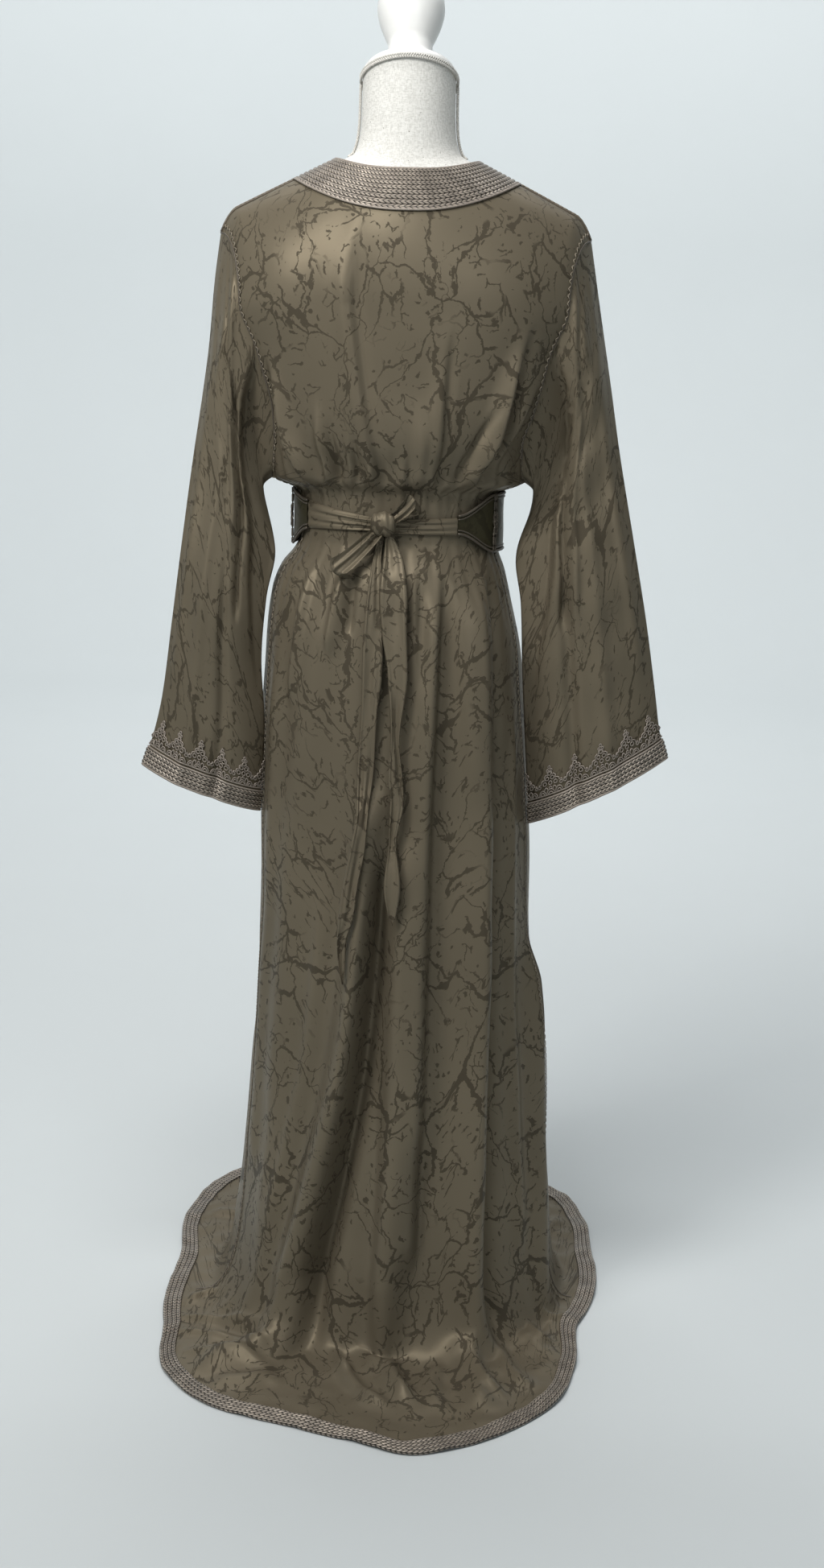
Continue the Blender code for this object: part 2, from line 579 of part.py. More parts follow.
def sleeve_grid(side, loop, shares):
    """Rows from the armhole loop down to the sleeve's hem.

    The loop starts at the shoulder tip, runs down the back to the underarm and up the front.
    Each point keeps its share of the width p, its depth q and its offset h from the chord.
    """
    tip = loop[0]
    lowest = int(np.argmin(loop[:, 2]))
    underarm = loop[lowest]
    chord = underarm - tip
    length = np.linalg.norm(chord)
    along = chord / length
    normal = np.cross(along, (0.0, 1.0, 0.0))
    p_loop = (loop - tip) @ along / length
    q_loop = loop[:, 1] - tip[1] - p_loop * chord[1]
    h_loop = (loop - tip) @ normal
    closed = np.vstack([loop, loop[:1]])
    steps = np.linalg.norm(np.diff(closed, axis=0), axis=1)
    run = np.concatenate([[0.0], np.cumsum(steps)])[:-1]
    half = run[lowest]
    whole = steps.sum()
    turn = np.where(np.arange(len(loop)) <= lowest, math.pi * run / half,
                    math.pi + math.pi * (run - half) / (whole - half))
    even = 1 - np.abs(1 - turn / math.pi)
    p_cuff = EVEN_CUFF * even + (1 - EVEN_CUFF) * (1 - np.cos(turn)) / 2
    q_cuff = -np.sin(turn)
    rows = []
    for s in shares:
        outer = line_at(SLEEVE_OUTER[side], side, s)
        inner = line_at(SLEEVE_INNER[side], side, s ** INNER_LAG)
        across = inner - outer
        out = unit(np.cross(across, (0.0, 1.0, 0.0)))
        blend = smooth_step(s / 0.45)
        bulge = SLEEVE_BULGE + (CUFF_BULGE - SLEEVE_BULGE) * s
        p = p_loop * (1 - blend) + p_cuff * blend
        q = q_loop * (1 - blend) + q_cuff * bulge * blend
        h = h_loop * (1 - smooth_step(s / 0.3))
        folds = np.array(SLEEVE_FOLD[side])
        edge = curve(folds[:, 0], folds[:, 1], s)
        depth = curve(folds[:, 0], folds[:, 2], s)
        tuck = smooth_step((p - edge) / SLEEVE_FOLD_WIDTH)
        q = np.where(q < 0, q * (1 - depth * tuck), q)
        shift = -SLEEVE_BACK_SHIFT * smooth_step((s - 0.1) / 0.55)
        bloom = SLEEVE_BLOOM * smooth_step(s / 0.12) * (1 - smooth_step((s - 0.14) / 0.3))
        point = outer + p[:, None] * across + h[:, None] * out
        point[:, 0] += side * bloom * smooth_step(p / 0.35)
        lean = (tip[1] + p * chord[1]) * (1 - smooth_step(s / 0.5))
        point[:, 1] += q + shift + lean
        if s == 0.0:
            point = loop.copy()
        rows.append(point)
    return np.array(rows)


# Walls

def edge_inset(edge, beside, gap):
    """Moves an edge towards the line beside it, square to the edge."""
    tangent = np.gradient(edge, axis=0)
    tangent = unit(tangent)
    inward = beside - edge
    inward = inward - np.sum(inward * tangent, axis=-1, keepdims=True) * tangent
    return edge + gap * unit(inward)


def gap_edges(points, top, left, right, gap):
    """Pulls the marked edges of a grid back along the cloth by a gap."""
    out = points.copy()
    if top:
        ring = np.concatenate([points[0, -1:], points[0], points[0, :1]])
        beside = np.concatenate([points[1, -1:], points[1], points[1, :1]])
        out[0] = edge_inset(ring, beside, gap)[1:-1]
    if left:
        out[:, 0] = edge_inset(points[:, 0], points[:, 1], gap)
    if right:
        out[:, -1] = edge_inset(points[:, -1], points[:, -2], gap)
    return out


def share_normals(panels):
    """Gives two walls the same direction at each seam point that they have in common."""
    found = {}
    for points, normals, border in panels:
        for place in border:
            key = tuple(np.round(points[place], 4))
            found.setdefault(key, []).append((normals, place))
    for group in found.values():
        total = sum(normals[place] for normals, place in group)
        total = total / max(np.linalg.norm(total), 1e-9)
        for normals, place in group:
            normals[place] = total


def border_places(points, wrap):
    rows, columns = points.shape[:2]
    places = [(0, c) for c in range(columns)] + [(rows - 1, c) for c in range(columns)]
    if not wrap:
        places += [(r, 0) for r in range(1, rows - 1)]
        places += [(r, columns - 1) for r in range(1, rows - 1)]
    return places


def finish_material(spec):
    name, colour, roughness, metallic = spec
    material = bpy.data.materials.get(name)
    if material is None:
        material = bpy.data.materials.new(name)
        material.use_nodes = True
        shader = material.node_tree.nodes["Principled BSDF"]
        shader.inputs["Base Color"].default_value = (*colour, 1.0)
        shader.inputs["Roughness"].default_value = roughness
        shader.inputs["Metallic"].default_value = metallic
        material.diffuse_color = (*colour, 1.0)
    return material


def add_object(name, bm, spec):
    """Turns a bmesh into a named object with its material."""
    bmesh.ops.recalc_face_normals(bm, faces=bm.faces)
    mesh = bpy.data.meshes.new(name)
    bm.to_mesh(mesh)
    bm.free()
    mesh.materials.append(finish_material(spec))
    mesh.shade_smooth()
    mesh.set_sharp_from_angle(angle=math.radians(40))
    obj = bpy.data.objects.new(name, mesh)
    COLLECTION.objects.link(obj)
    return obj


def add_wall(name, outer, inner, spec, wrap=False):
    """Closed wall between two grids of points, its edges closed with rims."""
    rows, columns = outer.shape[:2]
    bm = bmesh.new()
    faces = []
    sides = []
    for grid in (outer, inner):
        sides.append([[bm.verts.new(grid[r, c]) for c in range(columns)] for r in range(rows)])
    last = columns if wrap else columns - 1
    for grid in sides:
        for r in range(rows - 1):
            for c in range(last):
                d = (c + 1) % columns
                faces.append((grid[r][c], grid[r + 1][c], grid[r + 1][d], grid[r][d]))
    top, under = sides
    for r in (0, rows - 1):
        for c in range(last):
            d = (c + 1) % columns
            faces.append((top[r][c], top[r][d], under[r][d], under[r][c]))
    if not wrap:
        for c in (0, columns - 1):
            for r in range(rows - 1):
                faces.append((top[r][c], top[r + 1][c], under[r + 1][c], under[r][c]))
    for face in faces:
        bm.faces.new(face)
    return add_object(name, bm, spec)


def cloth_wall(name, points, normals, spec, wrap=False):
    """Cloth of even thickness inside a grid of outer points, never under the floor."""
    inner = points - WALL * normals
    inner[..., 2] = np.maximum(inner[..., 2], FLOOR_GAP)
    return add_wall(name, points, inner, spec, wrap)


def add_loft(name, rings, spec):
    """Closed solid through rings of points, with flat ends."""
    bm = bmesh.new()
    made = [[bm.verts.new(point) for point in ring] for ring in rings]
    count = len(rings[0])
    for low, high in zip(made, made[1:]):
        for k in range(count):
            n = (k + 1) % count
            bm.faces.new((low[k], low[n], high[n], high[k]))
    bm.faces.new(made[0])
    bm.faces.new(made[-1])
    return add_object(name, bm, spec)


# Trims that lie on a panel

def trim_points(grid, normals, row, column):
    """Point and normal of a panel at a row and column, which may lie between its own."""
    r = min(int(math.floor(row)), grid.shape[0] - 2)
    c = int(math.floor(column))
    d = (c + 1) % grid.shape[1]
    c = c % grid.shape[1]
    a = row - r
    b = column - math.floor(column)
    if b < 1e-9:
        d = c
    point = ((1 - a) * (1 - b) * grid[r, c] + a * (1 - b) * grid[r + 1, c]
             + (1 - a) * b * grid[r, d] + a * b * grid[r + 1, d])
    normal = ((1 - a) * (1 - b) * normals[r, c] + a * (1 - b) * normals[r + 1, c]
              + (1 - a) * b * normals[r, d] + a * b * normals[r + 1, d])
    return point, unit(normal)


def add_trim(name, columns, rows, rise, spec, wrap=False, overhang=None):
    """Trim on one or more panels.

    Columns are (grid, normals, column); each row is a row number, or one for every column;
    rise is each row's share of the braid's thickness; the overhang row reaches past the edge.
    """
    outer = []
    inner = []
    for number, row in enumerate(rows):
        top_line = []
        under_line = []
        for k, (grid, normals, column) in enumerate(columns):
            here = row[k] if isinstance(row, list) else row
            point, normal = trim_points(grid, normals, here, column)
            if number == overhang:
                inside, _ = trim_points(grid, normals, here + (1 if here < 1 else -1), column)
                point = point + EDGE_OVERHANG * unit(point - inside)
            under_line.append(point + LAY * normal)
            top_line.append(point + (LAY + rise[number] * BAND_THICK) * normal)
        outer.append(top_line)
        inner.append(under_line)
    return add_wall(name, np.array(outer), np.array(inner), spec, wrap)


# Belt, ties and bow

def waist_point(angle, z, lift):
    """Point over the waist at an angle, a height and a distance from the cloth."""
    x, y = section(BELT_Z, angle)
    return np.array([x + lift * math.sin(angle), y - lift * math.cos(angle), z])


def add_belt():
    """Stiff front belt with piped edges, which narrows to the ties at its ends."""
    (right, right_taper, right_half), (left, left_taper, left_half) = BELT_ENDS
    outer = []
    inner = []
    for share, pipe in BELT_LEVELS:
        top_line = []
        under_line = []
        for degrees in np.linspace(right, left, BELT_COLUMN_COUNT + 1):
            grown = smooth_step((degrees - right) / right_taper)
            half = right_half + (BELT_HALF - right_half) * grown
            other = smooth_step((left - degrees) / left_taper)
            half = min(half, left_half + (BELT_HALF - left_half) * other)
            lift = BELT_LIFT + BELT_STAND * min(grown, other)
            middle = BELT_Z + (TIES["belt_tie_left"][2] - BELT_Z) * (1 - other)
            z = middle + share * half
            angle = math.radians(degrees)
            under_line.append(waist_point(angle, z, lift))
            top_line.append(waist_point(angle, z, lift + BELT_THICK + pipe * BELT_PIPE))
        outer.append(top_line)
        inner.append(under_line)
    return add_wall("belt", np.array(outer), np.array(inner), CLOTH)


def add_tie(name):
    """Tie strip from the belt's end to the knot, gathered narrower at the knot."""
    start, end, z_start, z_end, half_start, half_end = TIES[name]
    outer = []
    inner = []
    for share in (-1.0, 0.0, 1.0):
        top_line = []
        under_line = []
        for t in np.linspace(0, 1, TIE_COLUMNS + 1):
            angle = math.radians(start + (end - start) * t)
            half = half_start + (half_end - half_start) * t
            z = z_start + (z_end - z_start) * t + share * half
            under_line.append(waist_point(angle, z, TIE_LIFT))
            top_line.append(waist_point(angle, z, TIE_LIFT + TIE_THICK))
        outer.append(top_line)
        inner.append(under_line)
    return add_wall(name, np.array(outer), np.array(inner), CLOTH)


def surface_tree(grid):
    """Search tree over a panel's outer faces."""
    rows, columns = grid.shape[:2]
    points = [Vector(p) for p in grid.reshape(-1, 3)]
    faces = []
    for r in range(rows - 1):
        for c in range(columns - 1):
            k = r * columns + c
            faces.append((k, k + columns, k + columns + 1, k + 1))
    return BVHTree.FromPolygons(points, faces)


def back_y(tree, x, z):
    """How far back the cloth reaches at x and z."""
    hit = tree.ray_cast(Vector((x, -1.0, z)), Vector((0.0, 1.0, 0.0)))
    return hit[0].y


def add_knot(tree):
    """Knot of the bow: a rounded block."""
    x, z = KNOT
    bpy.ops.mesh.primitive_cube_add(size=2.0, location=(x, back_y(tree, x, z) - KNOT_STAND, z))
    knot = bpy.context.active_object
    knot.name = "bow_knot"
    knot.data.transform(Matrix.Diagonal((*[KNOT_CAGE * size for size in KNOT_SIZE], 1.0)))
    knot.data.materials.append(finish_material(CLOTH))
    rounded = knot.modifiers.new("round", "SUBSURF")
    rounded.levels = 2
    rounded.render_levels = 2
    knot.data.shade_smooth()
    for collection in knot.users_collection:
        collection.objects.unlink(knot)
    COLLECTION.objects.link(knot)
    return knot


def ribbon_wall(name, rows):
    """Ribbon through rows of points across it, half its thickness to both sides."""
    grid = np.array(rows, float)
    normals = grid_normals(grid, False)
    half = 0.5 * TIE_THICK * normals
    return add_wall(name, grid + half, grid - half, CLOTH)


def add_loop(name, tree):
    """Loop of the bow: a ribbon that leaves the knot, turns and comes back over itself."""
    dx, dz, length, half, start, depth, gap = LOOPS[name]
    x0, z0 = KNOT
    y0 = back_y(tree, x0, z0)
    rows = []
    for t in np.linspace(0, 1, LOOP_ROWS):
        swell = math.sin(math.pi * t)
        along = start + length * (1 - abs(2 * t - 1) ** 2.5)
        wide = half * (0.45 + 0.55 * swell ** 0.7)
        layer = math.tanh((2 * t - 1) / 0.3) * (0.5 + 0.5 * swell)
        x = x0 + dx * along
        z = z0 + dz * along
        row = []
        for share in (-1.0, 0.0, 1.0):
            px = x - dz * wide * share
            pz = z + dx * wide * share
            free = y0 - depth
            resting = back_y(tree, px, pz) - gap - TAIL_LIFT["bow_tail_left"]
            row.append((px, min(free, resting) - gap * layer, pz))
        rows.append(row)
    return ribbon_wall(name, rows)


def add_tail(name, tree):
    """Hanging tail of the bow, a little arched, over the back of the skirt."""
    rows = []
    lift = TAIL_LIFT[name]
    for z, left, right in TAILS[name]:
        middle = 0.5 * (left + right)
        places = [back_y(tree, x, z) for x in np.linspace(left, right, 5)]
        y = min(places) - lift
        edge = 0.5 * (y + min(places[0], places[-1]) - lift)
        if z > KNOT_FOOT_Z:
            y = back_y(tree, KNOT[0], KNOT[1]) - KNOT_STAND
            edge = y
        rows.append([(left, min(edge, y + TAIL_ARCH), z), (middle, y - TAIL_ARCH, z),
                     (right, min(edge, y + TAIL_ARCH), z)])
    return ribbon_wall(name, rows)


# Garment

def oriented_normals(points, wrap):
    """Normals that point away from the middle of each row."""
    normals = grid_normals(points, wrap)
    middle = points.mean(axis=1, keepdims=True)
    if not wrap:
        middle = middle * 0.0
        middle[..., 2] = points[..., 2].mean(axis=1, keepdims=True)
    if np.sum(normals * (points - middle)) < 0:
        normals = -normals
    return normals


def garment_grids():
    """Outer points of every cut piece of the body and the sleeves."""
    u_back = np.linspace(-1, 1, BACK_COLUMNS + 1)
    u_front = np.linspace(1e-6, 1, FRONT_COLUMNS + 1)
    grids = {"back": body_panel(u_back, False),
             "front_right": body_panel(u_front, True)[:, ::-1],
             "front_left": body_panel(-u_front, True)}
    first_arm = BAND_ROWS + SHOULDER_ROWS
    underarm = first_arm + ARM_ROWS + STANDING_ROWS.index(UNDERARM_Z)
    arm = range(first_arm, underarm + 1)
    shares = list(SLEEVE_ROWS)
    sleeve_length = arc_length(SLEEVE_OUTER[-1])
    shares += [1 - (CUFF_BAND_WIDTH + CREST_HEIGHT) / sleeve_length]
    shares += [1 - CUFF_BAND_WIDTH / sleeve_length, 1.0]
    for side, name, back_column, front_name, front_column in (
            (-1, "sleeve_left", 0, "front_left", FRONT_COLUMNS),
            (1, "sleeve_right", BACK_COLUMNS, "front_right", 0)):
        down = [grids["back"][r, back_column] for r in arm]
        up = [grids[front_name][r, front_column] for r in reversed(arm)]
        grids[name] = sleeve_grid(side, np.array(down + up[1:-1]), shares)
    return grids


def add_cloth(grids, normals):
    """Walls of the cut pieces, with a small gap at each seam."""
    for name, points in grids.items():
        sleeve = name.startswith("sleeve")
        placed = gap_edges(points, sleeve, not sleeve, not sleeve, SEAM / 2)
        if name == "front_right":
            placed = gap_edges(placed, False, False, True, FRONT_OPENING / 2)
        if name == "front_left":
            placed = gap_edges(placed, False, True, False, FRONT_OPENING / 2)
        cloth_wall(name, placed, normals[name], CLOTH, wrap=sleeve)


def around_garment(grids, normals):
    """Columns of the three body panels in order: right front, back, left front."""
    order = []
    for name, columns in (("front_right", range(FRONT_COLUMNS, -1, -1)),
                          ("back", range(BACK_COLUMNS - 1, 0, -1)),
                          ("front_left", range(FRONT_COLUMNS, -1, -1))):
        order += [(grids[name], normals[name], column) for column in columns]
    return order


def crest_columns(cuff):
    """Columns of the scalloped trim and the share of its height that each reaches."""
    closed = np.vstack([cuff, cuff[:1]])
    run = np.concatenate([[0.0], np.cumsum(np.linalg.norm(np.diff(closed, axis=0), axis=1))])
    whole = run[-1]
    half_repeats = np.arange(2 * CREST_REPEATS) * whole / (2 * CREST_REPEATS)
    extra = np.interp(half_repeats, run, np.arange(len(closed)))
    columns = sorted(set(np.round(np.concatenate([extra, np.arange(len(cuff))]), 4)))
    kept = [columns[0]]
    for column in columns[1:]:
        if column - kept[-1] > 0.08:
            kept.append(column)
    shares = []
    for column in kept:
        phase = np.interp(column, np.arange(len(closed)), run) / whole * CREST_REPEATS
        shares.append(1 - 2 * abs(phase - round(phase)))
    return kept, shares


def add_trims(grids, normals):
    order = around_garment(grids, normals)
    last = len(grids["back"]) - 1
    add_trim("neck_band", order, list(range(BAND_ROWS + 1)), NECK_BAND_RISE, BRAID, overhang=0)
    add_trim("hem_band", order, [last - 1, last], (1.0, 1.0), BRAID, overhang=1)
    for side in ("left", "right"):
        grid = grids["sleeve_" + side]
        faces = normals["sleeve_" + side]
        end = len(grid) - 1
        columns = [(grid, faces, column) for column in range(grid.shape[1])]
        add_trim("cuff_band_" + side, columns, [end - 1, end], (1.0, 1.0),
                 BRAID, wrap=True, overhang=1)
        places, shares = crest_columns(grid[-1])
        columns = [(grid, faces, column) for column in places]
        low = end - 1 - 0.02
        reach = 1 - 0.03 - CREST_LOW / CREST_HEIGHT
        tops = [low - CREST_LOW / CREST_HEIGHT - reach * share for share in shares]
        add_trim("cuff_crest_" + side, columns, [tops, [low] * len(tops)],
                 (CREST_RISE, CREST_RISE), BRAID, wrap=True)


# Dress form

def form_width(name, z):
    return float(look_up(FORM, FORM_COLUMNS, name, z))


def dome_height(x, y):
    """Height of the form's shoulders over a point of the plan."""
    foot = FORM[-2][0]
    half = form_width("half", foot)
    depth = form_width("back" if y < 0 else "front", foot)
    room = depth * math.sqrt(max(1 - (x / half) ** 2, 1e-9))
    top = float(ridge(np.array(x))) - WALL - FORM_UNDER_CLOTH
    return foot + (top - foot) * math.sqrt(max(1 - (y / room) ** 2, 0.0))


def form_radius(z, turn):
    """Distance of the form's surface from its axis."""
    sine, cosine = math.sin(turn), math.cos(turn)
    foot = FORM[-2][0]
    level = min(z, foot)
    depth = form_width("back" if cosine > 0 else "front", level)
    radius = 1 / math.sqrt((sine / form_width("half", level)) ** 2 + (cosine / depth) ** 2)
    if z <= foot:
        return radius
    low, high = 0.0, radius
    if dome_height(high * sine, -high * cosine) < z:
        for _ in range(40):
            middle = 0.5 * (low + high)
            if dome_height(middle * sine, -middle * cosine) > z:
                low = middle
            else:
                high = middle
    flare = NECK_FLARE * (NECK_FLARE_ROUND + (1 - NECK_FLARE_ROUND) * sine * sine)
    neck = NECK_RADIUS + flare * min(math.exp((NECK_FLARE_Z - z) / NECK_FLARE_RUN), 1.0)
    if z < NECK_FLARE_Z:
        return high
    return max(high, neck)


def add_torso():
    """Torso and neck of the dress form, one smooth closed shape with no arms."""
    rings = []
    turns = [2 * math.pi * k / FORM_SEGMENTS for k in range(FORM_SEGMENTS)]
    for z in FORM_RINGS:
        ring = []
        for turn in turns:
            r = form_radius(z, turn)
            ring.append((r * math.sin(turn), -r * math.cos(turn), z))
        rings.append(ring)
    top = []
    for turn in turns:
        y = -NECK_RADIUS * math.cos(turn)
        top.append((NECK_RADIUS * math.sin(turn), y, NECK_TOP_Z - NECK_TILT * y))
    rings.append(top)
    return add_loft("form_torso", rings, LINEN)


def add_turned(name, profile, spec, location=(0, 0, 0), tilt=0.0, steps=FORM_SEGMENTS):
    """Solid of revolution from a profile that runs down its outer side."""
    mesh = bpy.data.meshes.new(name)
    points = [(r, 0.0, z) for r, z in profile]
    mesh.from_pydata(points, [(k, k + 1) for k in range(len(points) - 1)], [])
    mesh.materials.append(finish_material(spec))
    obj = bpy.data.objects.new(name, mesh)
    COLLECTION.objects.link(obj)
    turn = obj.modifiers.new("turn", "SCREW")
    turn.axis = "Z"
    turn.steps = steps
    turn.render_steps = steps
    turn.use_merge_vertices = True
    turn.merge_threshold = 0.0001
    turn.use_smooth_shade = True
    obj.location = location
    obj.rotation_euler = (tilt, 0.0, 0.0)
    return obj


def add_tube(name, points, radius, spec, cyclic=False):
    """Cord through a list of points."""
    shape = bpy.data.curves.new(name, "CURVE")
    shape.dimensions = "3D"
    shape.bevel_depth = radius
    shape.bevel_resolution = 1
    shape.use_fill_caps = True
    spline = shape.splines.new("POLY")
    spline.points.add(len(points) - 1)
    for point, place in zip(spline.points, points):
        point.co = (*place, 1.0)
    spline.use_cyclic_u = cyclic
    shape.materials.append(finish_material(spec))
    obj = bpy.data.objects.new(name, shape)
    COLLECTION.objects.link(obj)
    return obj


def add_form():
    add_torso()
    tilt = -math.atan(NECK_TILT)
    axis = np.array([0.0, math.sin(-tilt), math.cos(tilt)])
    top = np.array([0.0, 0.0, NECK_TOP_Z])
    add_turned("form_neck_cap", CAP_PROFILE, PAINT, top + SEAM * axis, tilt)
    add_turned("form_finial", FINIAL_PROFILE, PAINT, top + (CAP_THICK + 2 * SEAM) * axis, tilt)
    ring = []
    reach = NECK_RADIUS + GIMP_RADIUS + LAY
    for k in range(FORM_SEGMENTS):
        turn = 2 * math.pi * k / FORM_SEGMENTS
        y = -reach * math.cos(turn)
        ring.append((reach * math.sin(turn), y, NECK_TOP_Z - GIMP_DROP - NECK_TILT * y))
    add_tube("form_neck_braid", ring, GIMP_RADIUS, CORD, cyclic=True)
    for side, name in ((-1, "form_seam_braid_left"), (1, "form_seam_braid_right")):
        rings = []
        heights = [z for z in reversed(FORM_RINGS) if z > SEAM_BRAID_FOOT]
        for z in [SEAM_BRAID_TOP] + heights:
            r = form_radius(z, math.pi / 2) + GIMP_RADIUS + LAY
            ring = []
            for k in range(SEAM_BRAID_SIDES):
                turn = 2 * math.pi * k / SEAM_BRAID_SIDES
                ring.append((side * (r + GIMP_RADIUS * math.cos(turn)),
                             GIMP_RADIUS * math.sin(turn), z))
            rings.append(ring)
        add_loft(name, rings, CORD)
    add_turned("form_base", BASE_PROFILE, STEEL)
    bottom = COLLAR_TOP + SEAM
    top_z = FORM_RINGS[0] - SEAM
    bpy.ops.mesh.primitive_cylinder_add(vertices=FORM_SEGMENTS, radius=POLE_RADIUS, depth=top_z - bottom,
                                        location=(0, 0, (top_z + bottom) / 2))
    pole = bpy.context.active_object
    pole.name = "form_pole"
    pole.data.materials.append(finish_material(STEEL))
    for collection in pole.users_collection:
        collection.objects.unlink(pole)
    COLLECTION.objects.link(pole)


def clear_scene():
    for obj in list(bpy.data.objects):
        bpy.data.objects.remove(obj)


def main():
    global COLLECTION
    clear_scene()
    COLLECTION = bpy.data.collections.new("moroccan_kaftan")
    bpy.context.scene.collection.children.link(COLLECTION)
    grids = garment_grids()
    normals = {name: oriented_normals(grid, name.startswith("sleeve"))
               for name, grid in grids.items()}
    share_normals([(grids[name], normals[name],
                    border_places(grids[name], name.startswith("sleeve"))) for name in grids])
    add_cloth(grids, normals)
    add_trims(grids, normals)
    add_belt()
    for name in TIES:
        add_tie(name)
    tree = surface_tree(grids["back"])
    add_knot(tree)
    for name in LOOPS:
        add_loop(name, tree)
    for name in TAILS:
        add_tail(name, tree)
    add_form()


main()
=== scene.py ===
"""Looks of a Moroccan kaftan on a limbless dress form: cloth, braid, embroidery, light, camera.

Metres, +Z up; the back of the garment faces -Y and +X is the wearer's right side. The cloth is
lofted at a fine pitch through the sections of the part's own source, with its small creases added.
"""

import math

import bpy
import numpy as np
from mathutils import Matrix, Vector
from mathutils.bvhtree import BVHTree


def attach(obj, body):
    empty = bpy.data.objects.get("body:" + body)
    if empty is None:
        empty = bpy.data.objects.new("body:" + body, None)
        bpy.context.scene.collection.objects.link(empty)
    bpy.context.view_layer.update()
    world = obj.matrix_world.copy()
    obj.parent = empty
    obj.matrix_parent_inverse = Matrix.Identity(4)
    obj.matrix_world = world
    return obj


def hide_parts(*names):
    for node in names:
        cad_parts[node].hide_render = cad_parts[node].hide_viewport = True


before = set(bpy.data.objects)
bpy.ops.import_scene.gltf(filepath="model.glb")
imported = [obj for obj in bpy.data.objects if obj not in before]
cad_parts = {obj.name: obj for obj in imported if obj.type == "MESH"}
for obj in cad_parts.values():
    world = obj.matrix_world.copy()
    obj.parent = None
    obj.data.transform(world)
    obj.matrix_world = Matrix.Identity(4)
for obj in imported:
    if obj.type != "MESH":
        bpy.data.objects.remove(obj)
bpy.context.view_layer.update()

# Cloth and seams
WALL = 0.0015               # thickness of the satin and its turned edges
SEAM = 0.0003               # gap between two pieces that are sewn together
FLOOR_GAP = 0.0002          # the cloth's underside over the floor

# Shoulders and neckline
RIDGE_TOP = 1.455           # shoulder line, carried on to the middle of the neck
RIDGE_SLOPE = 0.5
RIDGE_SOFT = 0.03
TIP_X = 0.216               # shoulder tip
TIP_START = 0.198
TIP_DROP = 0.018
BACK_YOKE_Z = 1.25          # the yoke rounds over to the shoulder line above these heights
FRONT_YOKE_Z = 1.22
NECK_HALF = 0.084           # neckline and outer edge of the neck band, in plan
BAND_HALF = 0.130
BACK_NECK_DEPTH = 0.075
BACK_BAND_DEPTH = 0.0996
FRONT_NECK_DEPTH = 0.115
FRONT_BAND_DEPTH = 0.1294
BACK_TIP_ALPHA = 20.0       # how far the row from tip to tip lies above the yoke's foot, in degrees
FRONT_TIP_ALPHA = 8.0
TIP_POWER = 3
YOKE_GATHER = 65.0          # columns crowd towards the shoulder seam, as on an arc this long

# Skirt, break and train
UNDERARM_Z = 1.050
FOOT_Z = 0.09               # the cloth starts to turn out over the floor
FLOOR_TOP = WALL + FLOOR_GAP
HEM_BAND_WIDTH = 0.022

# Outer cloth at each height: half width left and right, depth behind and in front
BODY_COLUMNS = ("z", "left", "right", "back", "front")
BODY = (
    (0.09, 0.196, 0.218, 0.196, 0.205),
    (0.15, 0.189, 0.212, 0.188, 0.196),
    (0.23, 0.181, 0.201, 0.178, 0.186),
    (0.34, 0.173, 0.190, 0.168, 0.174),
    (0.44, 0.167, 0.180, 0.160, 0.164),
    (0.56, 0.166, 0.173, 0.151, 0.154),
    (0.65, 0.166, 0.168, 0.145, 0.147),
    (0.76, 0.165, 0.160, 0.138, 0.139),
    (0.84, 0.161, 0.152, 0.131, 0.132),
    (0.915, 0.152, 0.136, 0.121, 0.122),
    (0.945, 0.141, 0.128, 0.113, 0.114),
    (0.965, 0.126, 0.120, 0.100, 0.105),
    (0.980, 0.1196, 0.1166, 0.0926, 0.1016),
    (1.003, 0.1190, 0.1160, 0.0920, 0.1010),
    (1.028, 0.1196, 0.1166, 0.0926, 0.1016),
    (1.038, 0.1230, 0.1200, 0.0960, 0.1050),
    (1.050, 0.1525, 0.1485, 0.110, 0.121),
    (1.07, 0.158, 0.149, 0.118, 0.128),
    (1.10, 0.163, 0.156, 0.121, 0.134),
    (1.13, 0.171, 0.171, 0.122, 0.138),
    (1.16, 0.182, 0.183, 0.121, 0.140),
    (1.20, 0.197, 0.197, 0.120, 0.139),
    (1.25, 0.2194, 0.2194, 0.118, 0.135),
    (1.28, 0.2194, 0.2194, 0.118, 0.135),
)

# Seams, as angles from the middle back: edge of the back and edge of the fronts
SEAM_COLUMNS = ("z", "back_edge", "front_edge")
SEAMS = (
    (0.00, 75, 75),
    (0.95, 75, 75),
    (1.02, 79, 79),
    (1.038, 81, 81),
    (1.050, 82, 82),
    (1.060, 76, 93),
    (1.072, 72, 100),
    (1.10, 66, 110),
    (1.13, 63, 116),
    (1.16, 61, 119),
    (1.20, 60, 121),
    (1.25, 60, 122),
    (1.28, 60, 122),
)

# Hem and break on the floor: angle from the middle back, radius of each
FLOOR_COLUMNS = ("angle", "hem", "break_radius")
FLOOR = (
    (-180, 0.360, 0.252),
    (-144, 0.365, 0.250),
    (-120, 0.320, 0.240),
    (-94, 0.274, 0.228),
    (-62, 0.309, 0.248),
    (-44, 0.366, 0.262),
    (-30, 0.382, 0.258),
    (-18, 0.379, 0.235),
    (-5, 0.392, 0.222),
    (6, 0.418, 0.228),
    (15, 0.409, 0.250),
    (25, 0.391, 0.268),
    (35, 0.369, 0.266),
    (46, 0.329, 0.258),
    (64, 0.279, 0.245),
    (99, 0.286, 0.243),
    (121, 0.325, 0.248),
    (134, 0.350, 0.250),
    (180, 0.360, 0.252),
)

